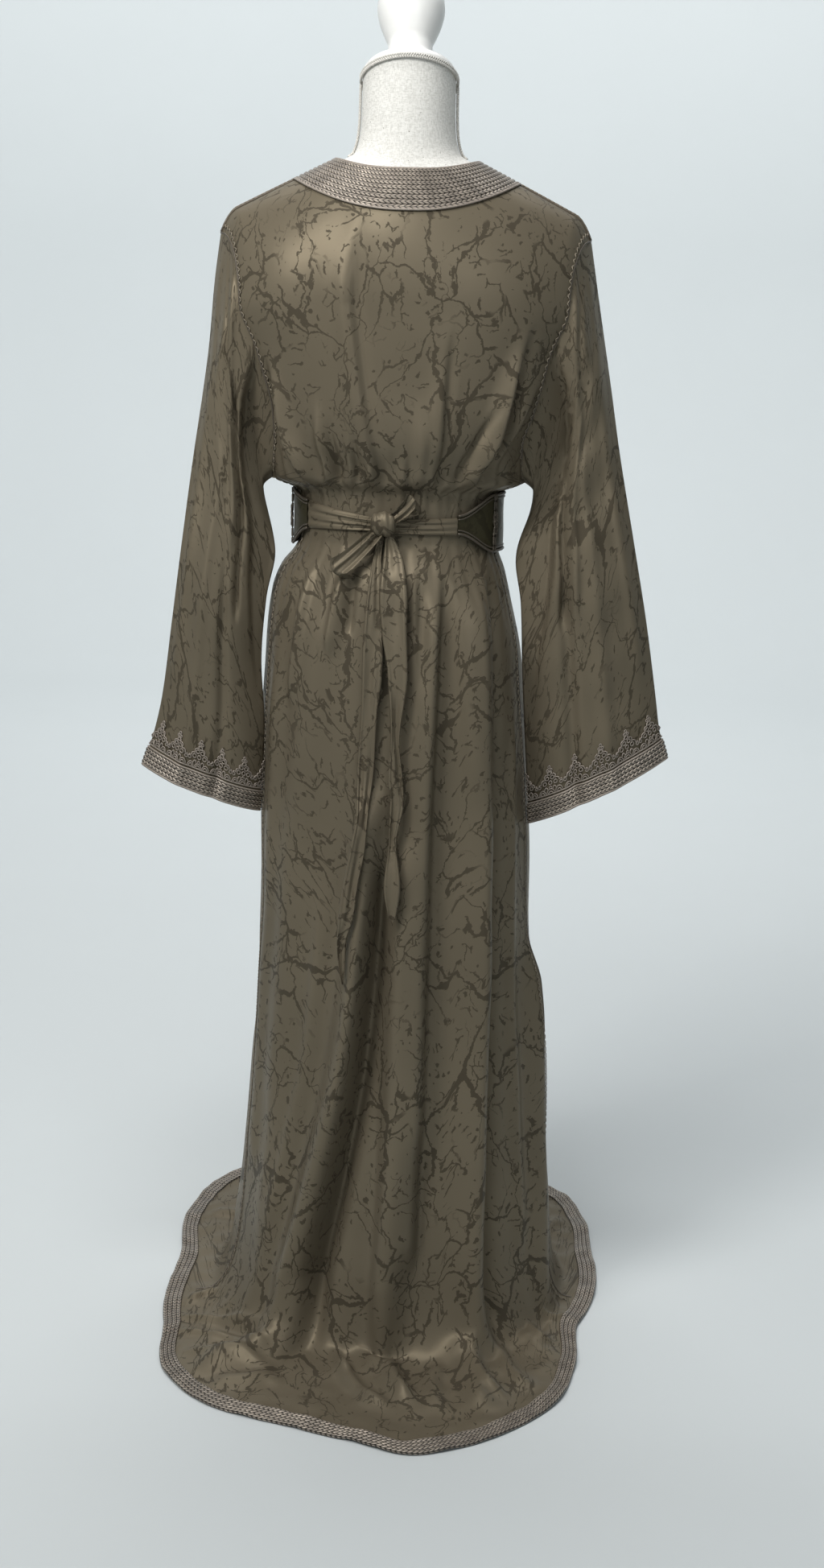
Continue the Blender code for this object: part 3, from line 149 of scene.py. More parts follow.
# Folds: x at three heights, widths on both sides of the crest, height; side -1 back, 1 front
FOLDS = (
    # side, z1, x1, z2, x2, z3, x3, left, right, height
    (-1, 1.13, -0.150, 1.06, -0.122, 1.01, -0.098, 0.010, 0.020, 0.009),
    (-1, 1.18, 0.162, 1.07, 0.104, 1.00, 0.066, 0.022, 0.010, 0.011),
    (-1, 1.30, -0.062, 1.18, -0.043, 1.01, -0.014, 0.012, 0.012, 0.005),
    (-1, 1.20, 0.056, 1.10, 0.048, 1.00, 0.044, 0.012, 0.012, 0.005),
    (-1, 1.10, -0.070, 1.05, -0.066, 1.00, -0.062, 0.008, 0.008, 0.005),
    (-1, 0.95, 0.044, 0.65, 0.038, 0.23, 0.040, 0.016, 0.014, 0.008),
    (-1, 0.96, 0.086, 0.60, 0.098, 0.00, 0.102, 0.024, 0.014, 0.017),
    (-1, 0.72, -0.022, 0.42, -0.044, 0.00, -0.130, 0.018, 0.016, 0.020),
    (-1, 0.66, 0.012, 0.34, 0.016, 0.00, 0.004, 0.015, 0.018, 0.013),
    (-1, 0.94, -0.084, 0.60, -0.118, 0.00, -0.150, 0.026, 0.026, 0.007),
    (-1, 0.50, 0.170, 0.25, 0.184, 0.00, 0.196, 0.018, 0.016, 0.010),
    (1, 1.18, -0.120, 1.08, -0.092, 1.00, -0.074, 0.020, 0.020, 0.007),
    (1, 1.18, 0.122, 1.08, 0.096, 1.00, 0.080, 0.020, 0.020, 0.007),
    (1, 0.95, -0.060, 0.60, -0.072, 0.00, -0.090, 0.026, 0.030, 0.014),
    (1, 0.95, 0.052, 0.60, 0.064, 0.00, 0.086, 0.030, 0.026, 0.016),
    (1, 0.70, -0.126, 0.40, -0.144, 0.00, -0.160, 0.024, 0.024, 0.010),
    (1, 0.74, 0.122, 0.40, 0.144, 0.00, 0.168, 0.026, 0.022, 0.011),
)
GUIDES = ((-0.286, 7), (0.071, 8), (0.5, 6))    # columns of the back skirt that run along a fold
GUIDE_TOP = 0.72
GUIDE_RUN = 0.14
FOLD_FADE = 0.07            # a fold rises over this height at its ends
WAIST_FREE = (0.960, 1.042) # no fold stands up under the belt

# Low waves on the floor: angle and radius of both ends, half width, height
WAVES = (
    # angle1, radius1, angle2, radius2, width, height
    (-33, 0.240, -42, 0.345, 0.022, 0.016),
    (-4, 0.215, 7, 0.330, 0.016, 0.012),
    (24, 0.250, 21, 0.350, 0.018, 0.012),
    (47, 0.250, 48, 0.300, 0.014, 0.008),
    (150, 0.240, 148, 0.330, 0.020, 0.012),
    (-152, 0.240, -150, 0.330, 0.020, 0.012),
)

# Sleeves: outer line and inner line from the armhole to the hem, for the left and right
SLEEVE_OUTER = {
    -1: ((0.216, 1.330), (0.224, 1.270), (0.230, 1.200), (0.236, 1.150), (0.246, 1.076),
         (0.260, 0.963), (0.272, 0.870), (0.283, 0.788), (0.293, 0.743), (0.307, 0.700)),
    1: ((0.216, 1.330), (0.227, 1.270), (0.239, 1.205), (0.247, 1.160), (0.259, 1.088),
        (0.281, 0.977), (0.300, 0.885), (0.315, 0.800), (0.322, 0.758), (0.332, 0.724)),
}
SLEEVE_INNER = {
    -1: ((0.151, 1.050), (0.148, 1.010), (0.147, 0.968), (0.158, 0.905), (0.163, 0.830),
         (0.159, 0.757), (0.161, 0.690), (0.165, 0.646)),
    1: ((0.147, 1.050), (0.144, 1.012), (0.139, 0.968), (0.148, 0.905), (0.152, 0.830),
        (0.158, 0.750), (0.163, 0.690), (0.168, 0.638)),
}
INNER_LAG = 1.6             # the inner line leaves the underarm later than the outer one
SLEEVE_BACK_SHIFT = 0.042   # how far behind the form's axis the lower sleeve hangs
CUFF_BULGE = 0.030          # half depth of the sleeve's opening
SLEEVE_BULGE = 0.040        # half depth halfway down
SLEEVE_FOLD = {             # tuck: place along the sleeve, share of its width, how flat it is
    -1: ((0.0, 0.45, 0.0), (0.12, 0.55, 0.45), (0.35, 0.66, 0.72), (0.6, 0.84, 0.6),
         (0.8, 0.95, 0.0), (1.0, 1.0, 0.0)),
    1: ((0.0, 0.40, 0.0), (0.12, 0.48, 0.45), (0.35, 0.58, 0.72), (0.6, 0.78, 0.6),
        (0.85, 0.95, 0.0), (1.0, 1.0, 0.0)),
}
SLEEVE_BLOOM = 0.014        # the cloth first stands off sideways from the armhole seam
EVEN_CUFF = 0.65            # how even the columns lie round the cuff

# Trims
CUFF_BAND_WIDTH = 0.021
CREST_HEIGHT = 0.040
CREST_REPEATS = 11
EDGE_OVERHANG = 0.0015      # the braid reaches past the cloth's edge

# Belt and bow
BELT_Z = 1.003
BELT_HALF = 0.033
BELT_THICK = 0.0032
BELT_LIFT = 0.0012          # over the cloth at the belt's ends, and further out between them
BELT_STAND = 0.0048
BELT_ENDS = (               # right and left end: angle from the middle back, taper, half height
    (35.0, 28.0, 0.0105),
    (298.0, 26.0, 0.0165),
)
TIE_LIFT = 0.0012
TIE_THICK = 0.0022
TIES = {                    # angles, heights of the middle and half heights, belt end first
    "belt_tie_right": (34.7, -8.5, 1.0005, 1.001, 0.0105, 0.008),
    "belt_tie_left": (-61.7, -9.2, 1.0085, 1.0020, 0.0165, 0.007),
}
KNOT = (-0.018, 1.004)      # middle of the knot, x and z
KNOT_SIZE = (0.0150, 0.0100, 0.0140)
KNOT_STAND = 0.0137
LOOPS = {                   # direction in x and z, length, half width, start, depth, half gap
    "bow_loop_upper": (0.85, 0.53, 0.032, 0.0135, 0.0146, 0.0125, 0.0062),
    "bow_loop_lower": (-0.64, -0.77, 0.064, 0.0180, 0.0141, 0.0135, 0.0080),
}
TAILS = {                   # rows of height, left edge and right edge
    "bow_tail_right": (
        (0.9897, -0.0150, -0.006), (0.965, -0.017, 0.006), (0.940, -0.020, 0.011),
        (0.920, -0.021, 0.013), (0.887, -0.019, 0.014), (0.834, -0.009, 0.015),
        (0.758, -0.004, 0.007), (0.718, -0.006, 0.012), (0.687, -0.003, 0.014),
        (0.640, -0.003, 0.006), (0.589, -0.009, 0.013), (0.543, 0.001, 0.006)),
    "bow_tail_left": (
        (0.9896, -0.0245, -0.0172), (0.965, -0.029, -0.019), (0.940, -0.033, -0.017),
        (0.915, -0.036, -0.016), (0.881, -0.038, -0.015), (0.844, -0.039, -0.014),
        (0.779, -0.040, -0.019), (0.722, -0.042, -0.022), (0.676, -0.042, -0.027),
        (0.635, -0.049, -0.029), (0.593, -0.055, -0.037), (0.551, -0.060, -0.042),
        (0.519, -0.062, -0.050), (0.472, -0.056, -0.051)),
}
KNOT_FOOT_Z = 0.98          # above this height the tails come out of the knot
TAIL_LIFT = {"bow_tail_right": 0.0088, "bow_tail_left": 0.0042}

# Dress form
FORM_COLUMNS = ("z", "half", "back", "front")
FORM = (
    (0.800, 0.118, 0.092, 0.092),
    (0.812, 0.130, 0.104, 0.104),
    (0.860, 0.134, 0.110, 0.110),
    (0.910, 0.126, 0.104, 0.106),
    (0.960, 0.112, 0.090, 0.096),
    (1.000, 0.107, 0.083, 0.091),
    (1.040, 0.112, 0.088, 0.098),
    (1.090, 0.126, 0.097, 0.116),
    (1.150, 0.140, 0.101, 0.128),
    (1.200, 0.158, 0.101, 0.122),
    (1.250, 0.186, 0.099, 0.112),
    (1.280, 0.186, 0.099, 0.112),
)
FORM_UNDER_CLOTH = 0.0012   # how far the form's shoulders lie under the cloth
NECK_RADIUS = 0.0535
NECK_FLARE = 0.032          # the neck widens into the shoulders
NECK_FLARE_Z = 1.40
NECK_FLARE_RUN = 0.014
NECK_FLARE_ROUND = 0.2      # share of the flare behind and in front
NECK_TOP_Z = 1.503
NECK_TILT = 0.38            # the neck's top slopes down to the front
GIMP_DROP = 0.004
GIMP_STAND = 0.0022         # the gimp's middle line stands this far off the linen
GIMP_STRAND = 0.0010
GIMP_SEAM_Z = (1.494, 1.416)
CAP_THICK = 0.017
CAP_PROFILE = (             # radius and height
    (0.0, CAP_THICK), (0.026, CAP_THICK), (0.040, 0.0145), (0.050, 0.0095), (0.0535, 0.003),
    (0.0525, 0.0),
)
FINIAL_PROFILE = (
    (0.0, 0.108), (0.014, 0.106), (0.028, 0.097), (0.037, 0.080), (0.039, 0.064), (0.036, 0.048),
    (0.030, 0.032), (0.0255, 0.020), (0.026, 0.010), (0.031, 0.004), (0.031, 0.0),
)


# Sections of the garment and the form, as in the part's source

def curve(xs, ys, at):
    """Smooth curve without overshoot through the rows of a table."""
    xs = np.asarray(xs, float)
    ys = np.asarray(ys, float)
    step = np.diff(xs)
    slope = np.diff(ys) / step
    tangent = np.zeros(len(xs))
    product = slope[1:] * slope[:-1]
    total = np.where(np.abs(slope[1:] + slope[:-1]) < 1e-12, 1.0, slope[1:] + slope[:-1])
    tangent[1:-1] = np.where(product > 0, 2 * product / total, 0.0)
    tangent[0] = slope[0]
    tangent[-1] = slope[-1]
    at = np.clip(np.asarray(at, float), xs[0], xs[-1])
    k = np.clip(np.searchsorted(xs, at) - 1, 0, len(xs) - 2)
    h = step[k]
    t = (at - xs[k]) / h
    low = (1 + 2 * t) * (1 - t) ** 2 * ys[k] + t * (1 - t) ** 2 * h * tangent[k]
    high = t ** 2 * (3 - 2 * t) * ys[k + 1] + t ** 2 * (t - 1) * h * tangent[k + 1]
    return low + high


def look_up(rows, columns, name, at):
    """One column of a table, read along its first column."""
    values = np.array(rows, float)
    return curve(values[:, 0], values[:, columns.index(name)], at)


def smooth_step(t):
    t = np.clip(t, 0.0, 1.0)
    return t * t * (3 - 2 * t)


def unit(vectors):
    length = np.linalg.norm(vectors, axis=-1, keepdims=True)
    return vectors / np.maximum(length, 1e-12)


def grid_normals(points, wrap):
    """Outward normals of a grid of points, rows down and columns to the right."""
    rows = np.empty_like(points)
    rows[1:-1] = points[2:] - points[:-2]
    rows[0] = points[1] - points[0]
    rows[-1] = points[-1] - points[-2]
    if wrap:
        columns = np.roll(points, -1, axis=1) - np.roll(points, 1, axis=1)
    else:
        columns = np.empty_like(points)
        columns[:, 1:-1] = points[:, 2:] - points[:, :-2]
        columns[:, 0] = points[:, 1] - points[:, 0]
        columns[:, -1] = points[:, -1] - points[:, -2]
    return unit(np.cross(rows, columns))


def ridge(x):
    """Height of the shoulder line."""
    z = RIDGE_TOP - RIDGE_SLOPE * np.sqrt(x * x + RIDGE_SOFT ** 2)
    beyond = np.maximum(np.abs(x) - TIP_START, 0) / (TIP_X - TIP_START)
    return z - TIP_DROP * beyond ** 2


def section(z, angle):
    """Outer cloth of the body at a height and an angle from the middle back, no folds."""
    sine = np.sin(angle)
    cosine = np.cos(angle)
    left = look_up(BODY, BODY_COLUMNS, "left", z)
    right = look_up(BODY, BODY_COLUMNS, "right", z)
    back = look_up(BODY, BODY_COLUMNS, "back", z)
    front = look_up(BODY, BODY_COLUMNS, "front", z)
    x = np.where(sine < 0, left, right) * sine
    y = -np.where(cosine > 0, back, front) * cosine
    return x, y


def fold_crest(fold, z):
    """Angle of a fold's crest at a height, from the middle back."""
    side, z1, x1, z2, x2, z3, x3 = fold[:7]
    x = curve((z3, z2, z1), (x3, x2, x1), z)
    half = np.where(x < 0, look_up(BODY, BODY_COLUMNS, "left", z),
                    look_up(BODY, BODY_COLUMNS, "right", z))
    angle = np.arcsin(np.clip(x / half, -0.999, 0.999))
    return angle if side < 0 else math.pi - angle


def fold_height(z, angle):
    """How far the folds stand out of the body at a height and an angle."""
    total = np.zeros(np.broadcast(z, angle).shape)
    girth = look_up(BODY, BODY_COLUMNS, "left", z)
    for fold in FOLDS:
        side, z1, _, _, _, z3, _, left, right, height = fold
        away = angle - fold_crest(fold, z)
        away = (away + math.pi) % (2 * math.pi) - math.pi
        distance = -side * away * girth
        width = np.where(distance < 0, left, right)
        rise = smooth_step((z1 - z) / FOLD_FADE)
        if z3 > 0:
            rise = rise * smooth_step((z - z3) / FOLD_FADE)
        total = total + height * rise * np.exp(-(distance / width) ** 2)
    low, high = WAIST_FREE
    waist = smooth_step((z - high) / 0.05) + smooth_step((low - z) / 0.05)
    return total * waist


def edge_angle(z, front):
    name = "front_edge" if front else "back_edge"
    return np.radians(look_up(SEAMS, SEAM_COLUMNS, name, z))


def panel_angle(u, z, front):
    """Angle from the middle back: u is 0 in a panel's middle and 1 or -1 at its side seams."""
    edge = edge_angle(z, front)
    if front:
        side = np.where(u < 0, -1.0, 1.0)
        return side * (math.pi - np.abs(u) * (math.pi - edge))
    share = smooth_step((GUIDE_TOP - z) / GUIDE_RUN)
    places = [-1.0]
    angles = [-edge]
    for place, fold in GUIDES:
        angle = fold_crest(FOLDS[fold], z)
        places.append(place)
        angles.append(place * edge * (1 - share) + angle * share)
    return curve(places + [1.0], np.array(angles + [edge]), u)


def yoke(xi, alpha, front):
    """Yoke: xi across, alpha from 0 at the yoke's foot to a right angle on the shoulder."""
    foot = FRONT_YOKE_Z if front else BACK_YOKE_Z
    x, y = section(foot, panel_angle(xi, foot, front))
    x_ridge = TIP_X * xi
    z = foot + (ridge(x_ridge) - foot) * np.sin(alpha)
    x = x + (x_ridge - x) * (1 - np.cos(alpha))
    flat = fold_height(foot, panel_angle(xi, foot, front)) * smooth_step(1 - alpha)
    side = 1.0 if front else -1.0
    return np.stack([x, y * np.cos(alpha) + side * flat, z], axis=-1)


def on_plan(u, half, depth, front):
    """Place in the yoke (xi, alpha) of a point on an oval round the neck."""
    turn = u * math.pi / 2
    x = half * np.sin(turn)
    y = depth * np.cos(turn)
    foot = FRONT_YOKE_Z if front else BACK_YOKE_Z
    xi = u * half / TIP_X
    alpha = np.zeros_like(u)
    for _ in range(12):
        _, y_foot = section(foot, panel_angle(xi, foot, front))
        alpha = np.arccos(np.clip(y / np.maximum(np.abs(y_foot), 1e-9), 0.0, 1.0))
        here = yoke(xi, alpha, front)[..., 0]
        xi = np.where(np.abs(x) < 1e-9, xi, xi * x / np.where(np.abs(here) < 1e-9, 1.0, here))
    return xi, alpha


def wave_height(x, y):
    """Low folds of the cloth that lies on the floor."""
    total = np.zeros_like(x)
    for angle1, radius1, angle2, radius2, width, height in WAVES:
        start = np.array([math.sin(math.radians(angle1)), -math.cos(math.radians(angle1))])
        end = np.array([math.sin(math.radians(angle2)), -math.cos(math.radians(angle2))])
        start = start * radius1
        along = end * radius2 - start
        length = np.hypot(*along)
        t = ((x - start[0]) * along[0] + (y - start[1]) * along[1]) / length ** 2
        across = ((x - start[0]) * along[1] - (y - start[1]) * along[0]) / length
        fade = smooth_step((t + 0.3) / 0.3) * smooth_step((1.25 - t) / 0.5)
        total = total + height * fade * np.exp(-(across / width) ** 2)
    return total


def arc_positions(points):
    steps = np.linalg.norm(np.diff(points, axis=0), axis=1)
    total = np.concatenate([[0.0], np.cumsum(steps)])
    return total / total[-1]


def line_at(rows, side, share):
    """Point of a sleeve's outer or inner line at a share of its length."""
    points = np.array(rows, float)
    along = arc_positions(points)
    x = curve(along, points[:, 0], share) * side
    z = curve(along, points[:, 1], share)
    return np.stack([x, np.zeros_like(x), z], axis=-1)


def sleeve_grid(side, loop, shares):
    """Rows from the armhole loop down to the sleeve's hem.

    The loop starts at the shoulder tip, runs down the back to the underarm and up the front.
    Each point keeps its share of the width p, its depth q and its offset h from the chord.
    """
    tip = loop[0]
    lowest = int(np.argmin(loop[:, 2]))
    underarm = loop[lowest]
    chord = underarm - tip
    length = np.linalg.norm(chord)
    along = chord / length
    normal = np.cross(along, (0.0, 1.0, 0.0))
    p_loop = (loop - tip) @ along / length
    q_loop = loop[:, 1] - tip[1] - p_loop * chord[1]
    h_loop = (loop - tip) @ normal
    closed = np.vstack([loop, loop[:1]])
    steps = np.linalg.norm(np.diff(closed, axis=0), axis=1)
    run = np.concatenate([[0.0], np.cumsum(steps)])[:-1]
    half = run[lowest]
    whole = steps.sum()
    turn = np.where(np.arange(len(loop)) <= lowest, math.pi * run / half,
                    math.pi + math.pi * (run - half) / (whole - half))
    even = 1 - np.abs(1 - turn / math.pi)
    p_cuff = EVEN_CUFF * even + (1 - EVEN_CUFF) * (1 - np.cos(turn)) / 2
    q_cuff = -np.sin(turn)
    rows = []
    for s in shares:
        outer = line_at(SLEEVE_OUTER[side], side, s)
        inner = line_at(SLEEVE_INNER[side], side, s ** INNER_LAG)
        across = inner - outer
        out = unit(np.cross(across, (0.0, 1.0, 0.0)))
        blend = smooth_step(s / 0.45)
        bulge = SLEEVE_BULGE + (CUFF_BULGE - SLEEVE_BULGE) * s
        p = p_loop * (1 - blend) + p_cuff * blend
        q = q_loop * (1 - blend) + q_cuff * bulge * blend
        h = h_loop * (1 - smooth_step(s / 0.3))
        folds = np.array(SLEEVE_FOLD[side])
        edge = curve(folds[:, 0], folds[:, 1], s)
        depth = curve(folds[:, 0], folds[:, 2], s)
        tuck = smooth_step((p - edge) / FINE_FOLD_WIDTH)
        q = np.where(q < 0, q * (1 - depth * tuck), q)
        shift = -SLEEVE_BACK_SHIFT * smooth_step((s - 0.1) / 0.55)
        bloom = SLEEVE_BLOOM * smooth_step(s / 0.12) * (1 - smooth_step((s - 0.14) / 0.3))
        point = outer + p[:, None] * across + h[:, None] * out
        point[:, 0] += side * bloom * smooth_step(p / 0.35)
        lean = (tip[1] + p * chord[1]) * (1 - smooth_step(s / 0.5))
        point[:, 1] += q + shift + lean
        if s == 0.0:
            point = loop.copy()
        rows.append(point)
    return np.array(rows)


def form_width(name, z):
    return float(look_up(FORM, FORM_COLUMNS, name, z))


def dome_height(x, y):
    """Height of the form's shoulders over a point of the plan."""
    foot = FORM[-2][0]
    half = form_width("half", foot)
    depth = form_width("back" if y < 0 else "front", foot)
    room = depth * math.sqrt(max(1 - (x / half) ** 2, 1e-9))
    top = float(ridge(np.array(x))) - WALL - FORM_UNDER_CLOTH
    return foot + (top - foot) * math.sqrt(max(1 - (y / room) ** 2, 0.0))


def form_radius(z, turn):
    """Distance of the form's surface from its axis."""
    sine, cosine = math.sin(turn), math.cos(turn)
    foot = FORM[-2][0]
    level = min(z, foot)
    depth = form_width("back" if cosine > 0 else "front", level)
    radius = 1 / math.sqrt((sine / form_width("half", level)) ** 2 + (cosine / depth) ** 2)
    if z <= foot:
        return radius
    low, high = 0.0, radius
    if dome_height(high * sine, -high * cosine) < z:
        for _ in range(40):
            middle = 0.5 * (low + high)
            if dome_height(middle * sine, -middle * cosine) > z:
                low = middle
            else:
                high = middle
    flare = NECK_FLARE * (NECK_FLARE_ROUND + (1 - NECK_FLARE_ROUND) * sine * sine)
    neck = NECK_RADIUS + flare * min(math.exp((NECK_FLARE_Z - z) / NECK_FLARE_RUN), 1.0)
    if z < NECK_FLARE_Z:
        return high
    return max(high, neck)


# Pitch of the fine cloth
BACK_FINE = 220
FRONT_FINE = 92
BAND_FINE = 12
SHOULDER_FINE = 22
ARM_FINE = 22
STAND_STEP = 0.005
FLOOR_FINE = 30
SLEEVE_FINE = 130

CREASE_STRENGTH = 2.0
GATHER_Z = 1.064            # over the belt the middle of the back is drawn in around this height
GATHER_RUN = 0.024
GATHER_DEPTH = 0.011

# Small creases: as the folds, with a height below zero for a furrow
CREASES = (
    (-1, 1.34, -0.074, 1.17, -0.050, 1.00, -0.020, 0.020, 0.0069, 0.0040),
    (-1, 1.34, -0.068, 1.17, -0.043, 1.00, -0.013, 0.0092, 0.010, -0.0035),
    (-1, 1.24, 0.052, 1.12, 0.0445, 1.00, 0.0435, 0.016, 0.0057, 0.0035),
    (-1, 1.24, 0.058, 1.12, 0.050, 1.00, 0.048, 0.0080, 0.008, -0.0030),
    (-1, 1.16, 0.020, 1.10, 0.024, 1.00, 0.022, 0.010, 0.010, 0.0040),
    (-1, 1.12, -0.060, 1.07, -0.058, 1.02, -0.055, 0.006, 0.0069, 0.0045),
    (-1, 1.12, -0.054, 1.07, -0.053, 1.02, -0.050, 0.0069, 0.005, -0.0045),
    (-1, 1.15, -0.098, 1.08, -0.090, 1.02, -0.080, 0.008, 0.008, 0.0045),
    (-1, 1.13, -0.084, 1.08, -0.080, 1.02, -0.072, 0.005, 0.005, -0.0030),
    (-1, 1.24, 0.146, 1.10, 0.104, 1.02, 0.076, 0.014, 0.0092, 0.0075),
    (-1, 1.24, 0.154, 1.10, 0.114, 1.02, 0.084, 0.0092, 0.009, -0.0060),
    (-1, 1.16, 0.120, 1.09, 0.084, 1.02, 0.060, 0.005, 0.005, -0.0040),
    (-1, 1.20, -0.156, 1.10, -0.128, 1.02, -0.096, 0.0092, 0.012, 0.0065),
    (-1, 1.20, -0.165, 1.10, -0.138, 1.02, -0.104, 0.009, 0.0092, -0.0055),
    (-1, 1.10, 0.084, 1.06, 0.078, 1.01, 0.062, 0.005, 0.005, 0.0030),
    (-1, 1.09, -0.036, 1.05, -0.034, 1.01, -0.032, 0.005, 0.005, 0.0025),
    (-1, 1.09, 0.006, 1.05, 0.004, 1.01, 0.004, 0.006, 0.006, 0.0020),
    (-1, 0.97, 0.047, 0.65, 0.041, 0.12, 0.036, 0.022, 0.0069, 0.0045),
    (-1, 0.97, 0.053, 0.65, 0.047, 0.12, 0.042, 0.0069, 0.010, -0.0040),
    (-1, 0.97, 0.064, 0.80, 0.078, 0.70, 0.086, 0.0069, 0.014, 0.0040),
    (-1, 0.97, 0.100, 0.60, 0.110, 0.06, 0.116, 0.020, 0.0069, 0.0060),
    (-1, 0.97, 0.108, 0.60, 0.118, 0.06, 0.124, 0.0069, 0.012, -0.0060),
    (-1, 0.64, -0.017, 0.36, -0.042, 0.02, -0.108, 0.012, 0.0080, 0.0060),
    (-1, 0.64, -0.008, 0.36, -0.031, 0.02, -0.094, 0.0092, 0.016, -0.0110),
    (-1, 0.60, 0.004, 0.30, 0.003, 0.05, -0.008, 0.0080, 0.012, 0.0040),
    (-1, 0.48, 0.172, 0.25, 0.190, 0.03, 0.202, 0.014, 0.0069, 0.0040),
    (-1, 0.97, -0.098, 0.90, -0.110, 0.80, -0.120, 0.008, 0.008, 0.0040),
    (-1, 0.97, -0.060, 0.93, -0.068, 0.86, -0.076, 0.006, 0.010, 0.0045),
    (-1, 0.97, -0.046, 0.93, -0.052, 0.88, -0.056, 0.006, 0.006, -0.0030),
    (-1, 0.97, 0.018, 0.90, 0.020, 0.82, 0.022, 0.006, 0.008, 0.0030),
    (-1, 0.97, 0.030, 0.90, 0.028, 0.82, 0.026, 0.0092, 0.0092, -0.0025),
    (-1, 0.90, -0.140, 0.60, -0.146, 0.20, -0.168, 0.018, 0.018, 0.0030),
    (-1, 0.60, -0.078, 0.40, -0.092, 0.14, -0.136, 0.010, 0.014, 0.0030),
    (-1, 0.80, 0.142, 0.55, 0.146, 0.10, 0.172, 0.010, 0.010, 0.0030),
    (1, 1.12, -0.040, 1.07, -0.038, 1.01, -0.034, 0.005, 0.005, 0.0040),
    (1, 1.12, 0.052, 1.07, 0.048, 1.01, 0.044, 0.005, 0.005, 0.0040),
    (1, 1.14, -0.084, 1.08, -0.076, 1.01, -0.066, 0.008, 0.0092, 0.0045),
    (1, 1.14, 0.080, 1.08, 0.072, 1.01, 0.062, 0.0092, 0.008, 0.0045),
    (1, 1.10, 0.020, 1.06, 0.018, 1.01, 0.016, 0.005, 0.005, 0.0030),
    (1, 0.97, -0.030, 0.85, -0.034, 0.60, -0.040, 0.010, 0.005, 0.0040),
    (1, 0.97, 0.026, 0.85, 0.030, 0.60, 0.036, 0.005, 0.010, 0.0040),
    (1, 0.97, -0.090, 0.80, -0.100, 0.30, -0.120, 0.014, 0.0092, 0.0050),
    (1, 0.97, 0.086, 0.80, 0.096, 0.30, 0.118, 0.0092, 0.014, 0.0050),
)

# Low swirls of the train: as the waves
SWIRLS = (
    (-40, 0.235, -62, 0.285, 0.007, 0.007),
    (-36, 0.262, -56, 0.300, 0.006, 0.005),
    (-30, 0.285, -48, 0.322, 0.008, 0.005),
    (-24, 0.300, -34, 0.345, 0.012, 0.006),
    (-14, 0.225, -8, 0.262, 0.006, 0.008),
    (-10, 0.250, 2, 0.330, 0.009, 0.010),
    (4, 0.240, 6, 0.310, 0.008, 0.006),
    (16, 0.255, 12, 0.330, 0.012, 0.007),
    (28, 0.245, 26, 0.335, 0.008, 0.008),
    (37, 0.250, 33, 0.330, 0.008, 0.006),
    (52, 0.240, 50, 0.275, 0.007, 0.008),
    (60, 0.235, 66, 0.262, 0.006, 0.006),
    (-72, 0.232, -70, 0.262, 0.007, 0.006),
    (160, 0.250, 158, 0.320, 0.012, 0.006),
    (120, 0.240, 122, 0.290, 0.010, 0.006),
    (-125, 0.240, -122, 0.290, 0.010, 0.006),
    (-168, 0.250, -170, 0.320, 0.012, 0.006),
)

# Furrows and rolls of the sleeves: side of the tube, place across at both ends, ends along
SLEEVE_CREASES = (
    (-1, -1, 0.10, 0.10, 0.05, 0.80, 0.05, 0.004),
    (-1, -1, 0.34, 0.30, 0.30, 1.00, 0.06, 0.004),
    (-1, -1, 0.55, 0.62, 0.45, 1.00, 0.05, -0.006),
    (-1, -1, 0.50, 0.70, 0.13, 0.60, 0.025, -0.010),
    (-1, -1, 0.40, 0.60, 0.13, 0.60, 0.040, 0.006),
    (-1, -1, 0.30, 0.66, 0.02, 0.34, 0.04, 0.004),
    (-1, -1, 0.20, 0.55, 0.00, 0.26, 0.03, -0.003),
    (-1, 1, 0.30, 0.34, 0.15, 0.90, 0.06, 0.005),
    (-1, 1, 0.62, 0.60, 0.30, 1.00, 0.06, -0.004),
    (1, -1, 0.12, 0.10, 0.05, 0.80, 0.05, 0.004),
    (1, -1, 0.36, 0.40, 0.30, 1.00, 0.06, 0.005),
    (1, -1, 0.62, 0.66, 0.55, 1.00, 0.05, -0.007),
    (1, -1, 0.46, 0.66, 0.13, 0.62, 0.025, -0.010),
    (1, -1, 0.36, 0.56, 0.13, 0.62, 0.040, 0.006),
    (1, -1, 0.22, 0.50, 0.00, 0.30, 0.03, -0.003),
    (1, -1, 0.30, 0.62, 0.03, 0.36, 0.04, 0.004),
    (1, 1, 0.30, 0.34, 0.15, 0.90, 0.06, 0.005),
    (1, 1, 0.62, 0.60, 0.30, 1.00, 0.06, -0.004),
)
FINE_FOLD_WIDTH = 0.035


# Fine cloth

def crease_height(z, angle):
    """Height of the small creases at a height and an angle from the middle back."""
    total = np.zeros(np.broadcast(z, angle).shape)
    girth = look_up(BODY, BODY_COLUMNS, "left", z)
    for crease in CREASES:
        side, z1, _, _, _, z3, _, left, right, height = crease
        away = angle - fold_crest(crease, z)
        away = (away + math.pi) % (2 * math.pi) - math.pi
        distance = -side * away * girth
        width = np.where(distance < 0, left, right)
        run = min(0.12, 0.5 * (z1 - z3))
        rise = smooth_step((z1 - z) / run) * smooth_step((z - z3) / (0.5 * run) + 0.5)
        total = total + height * rise * np.exp(-(distance / width) ** 2)
    low, high = WAIST_FREE
    waist = smooth_step((z - high) / 0.02) + smooth_step((low - z) / 0.02)
    return CREASE_STRENGTH * total * np.minimum(waist, 1.0)


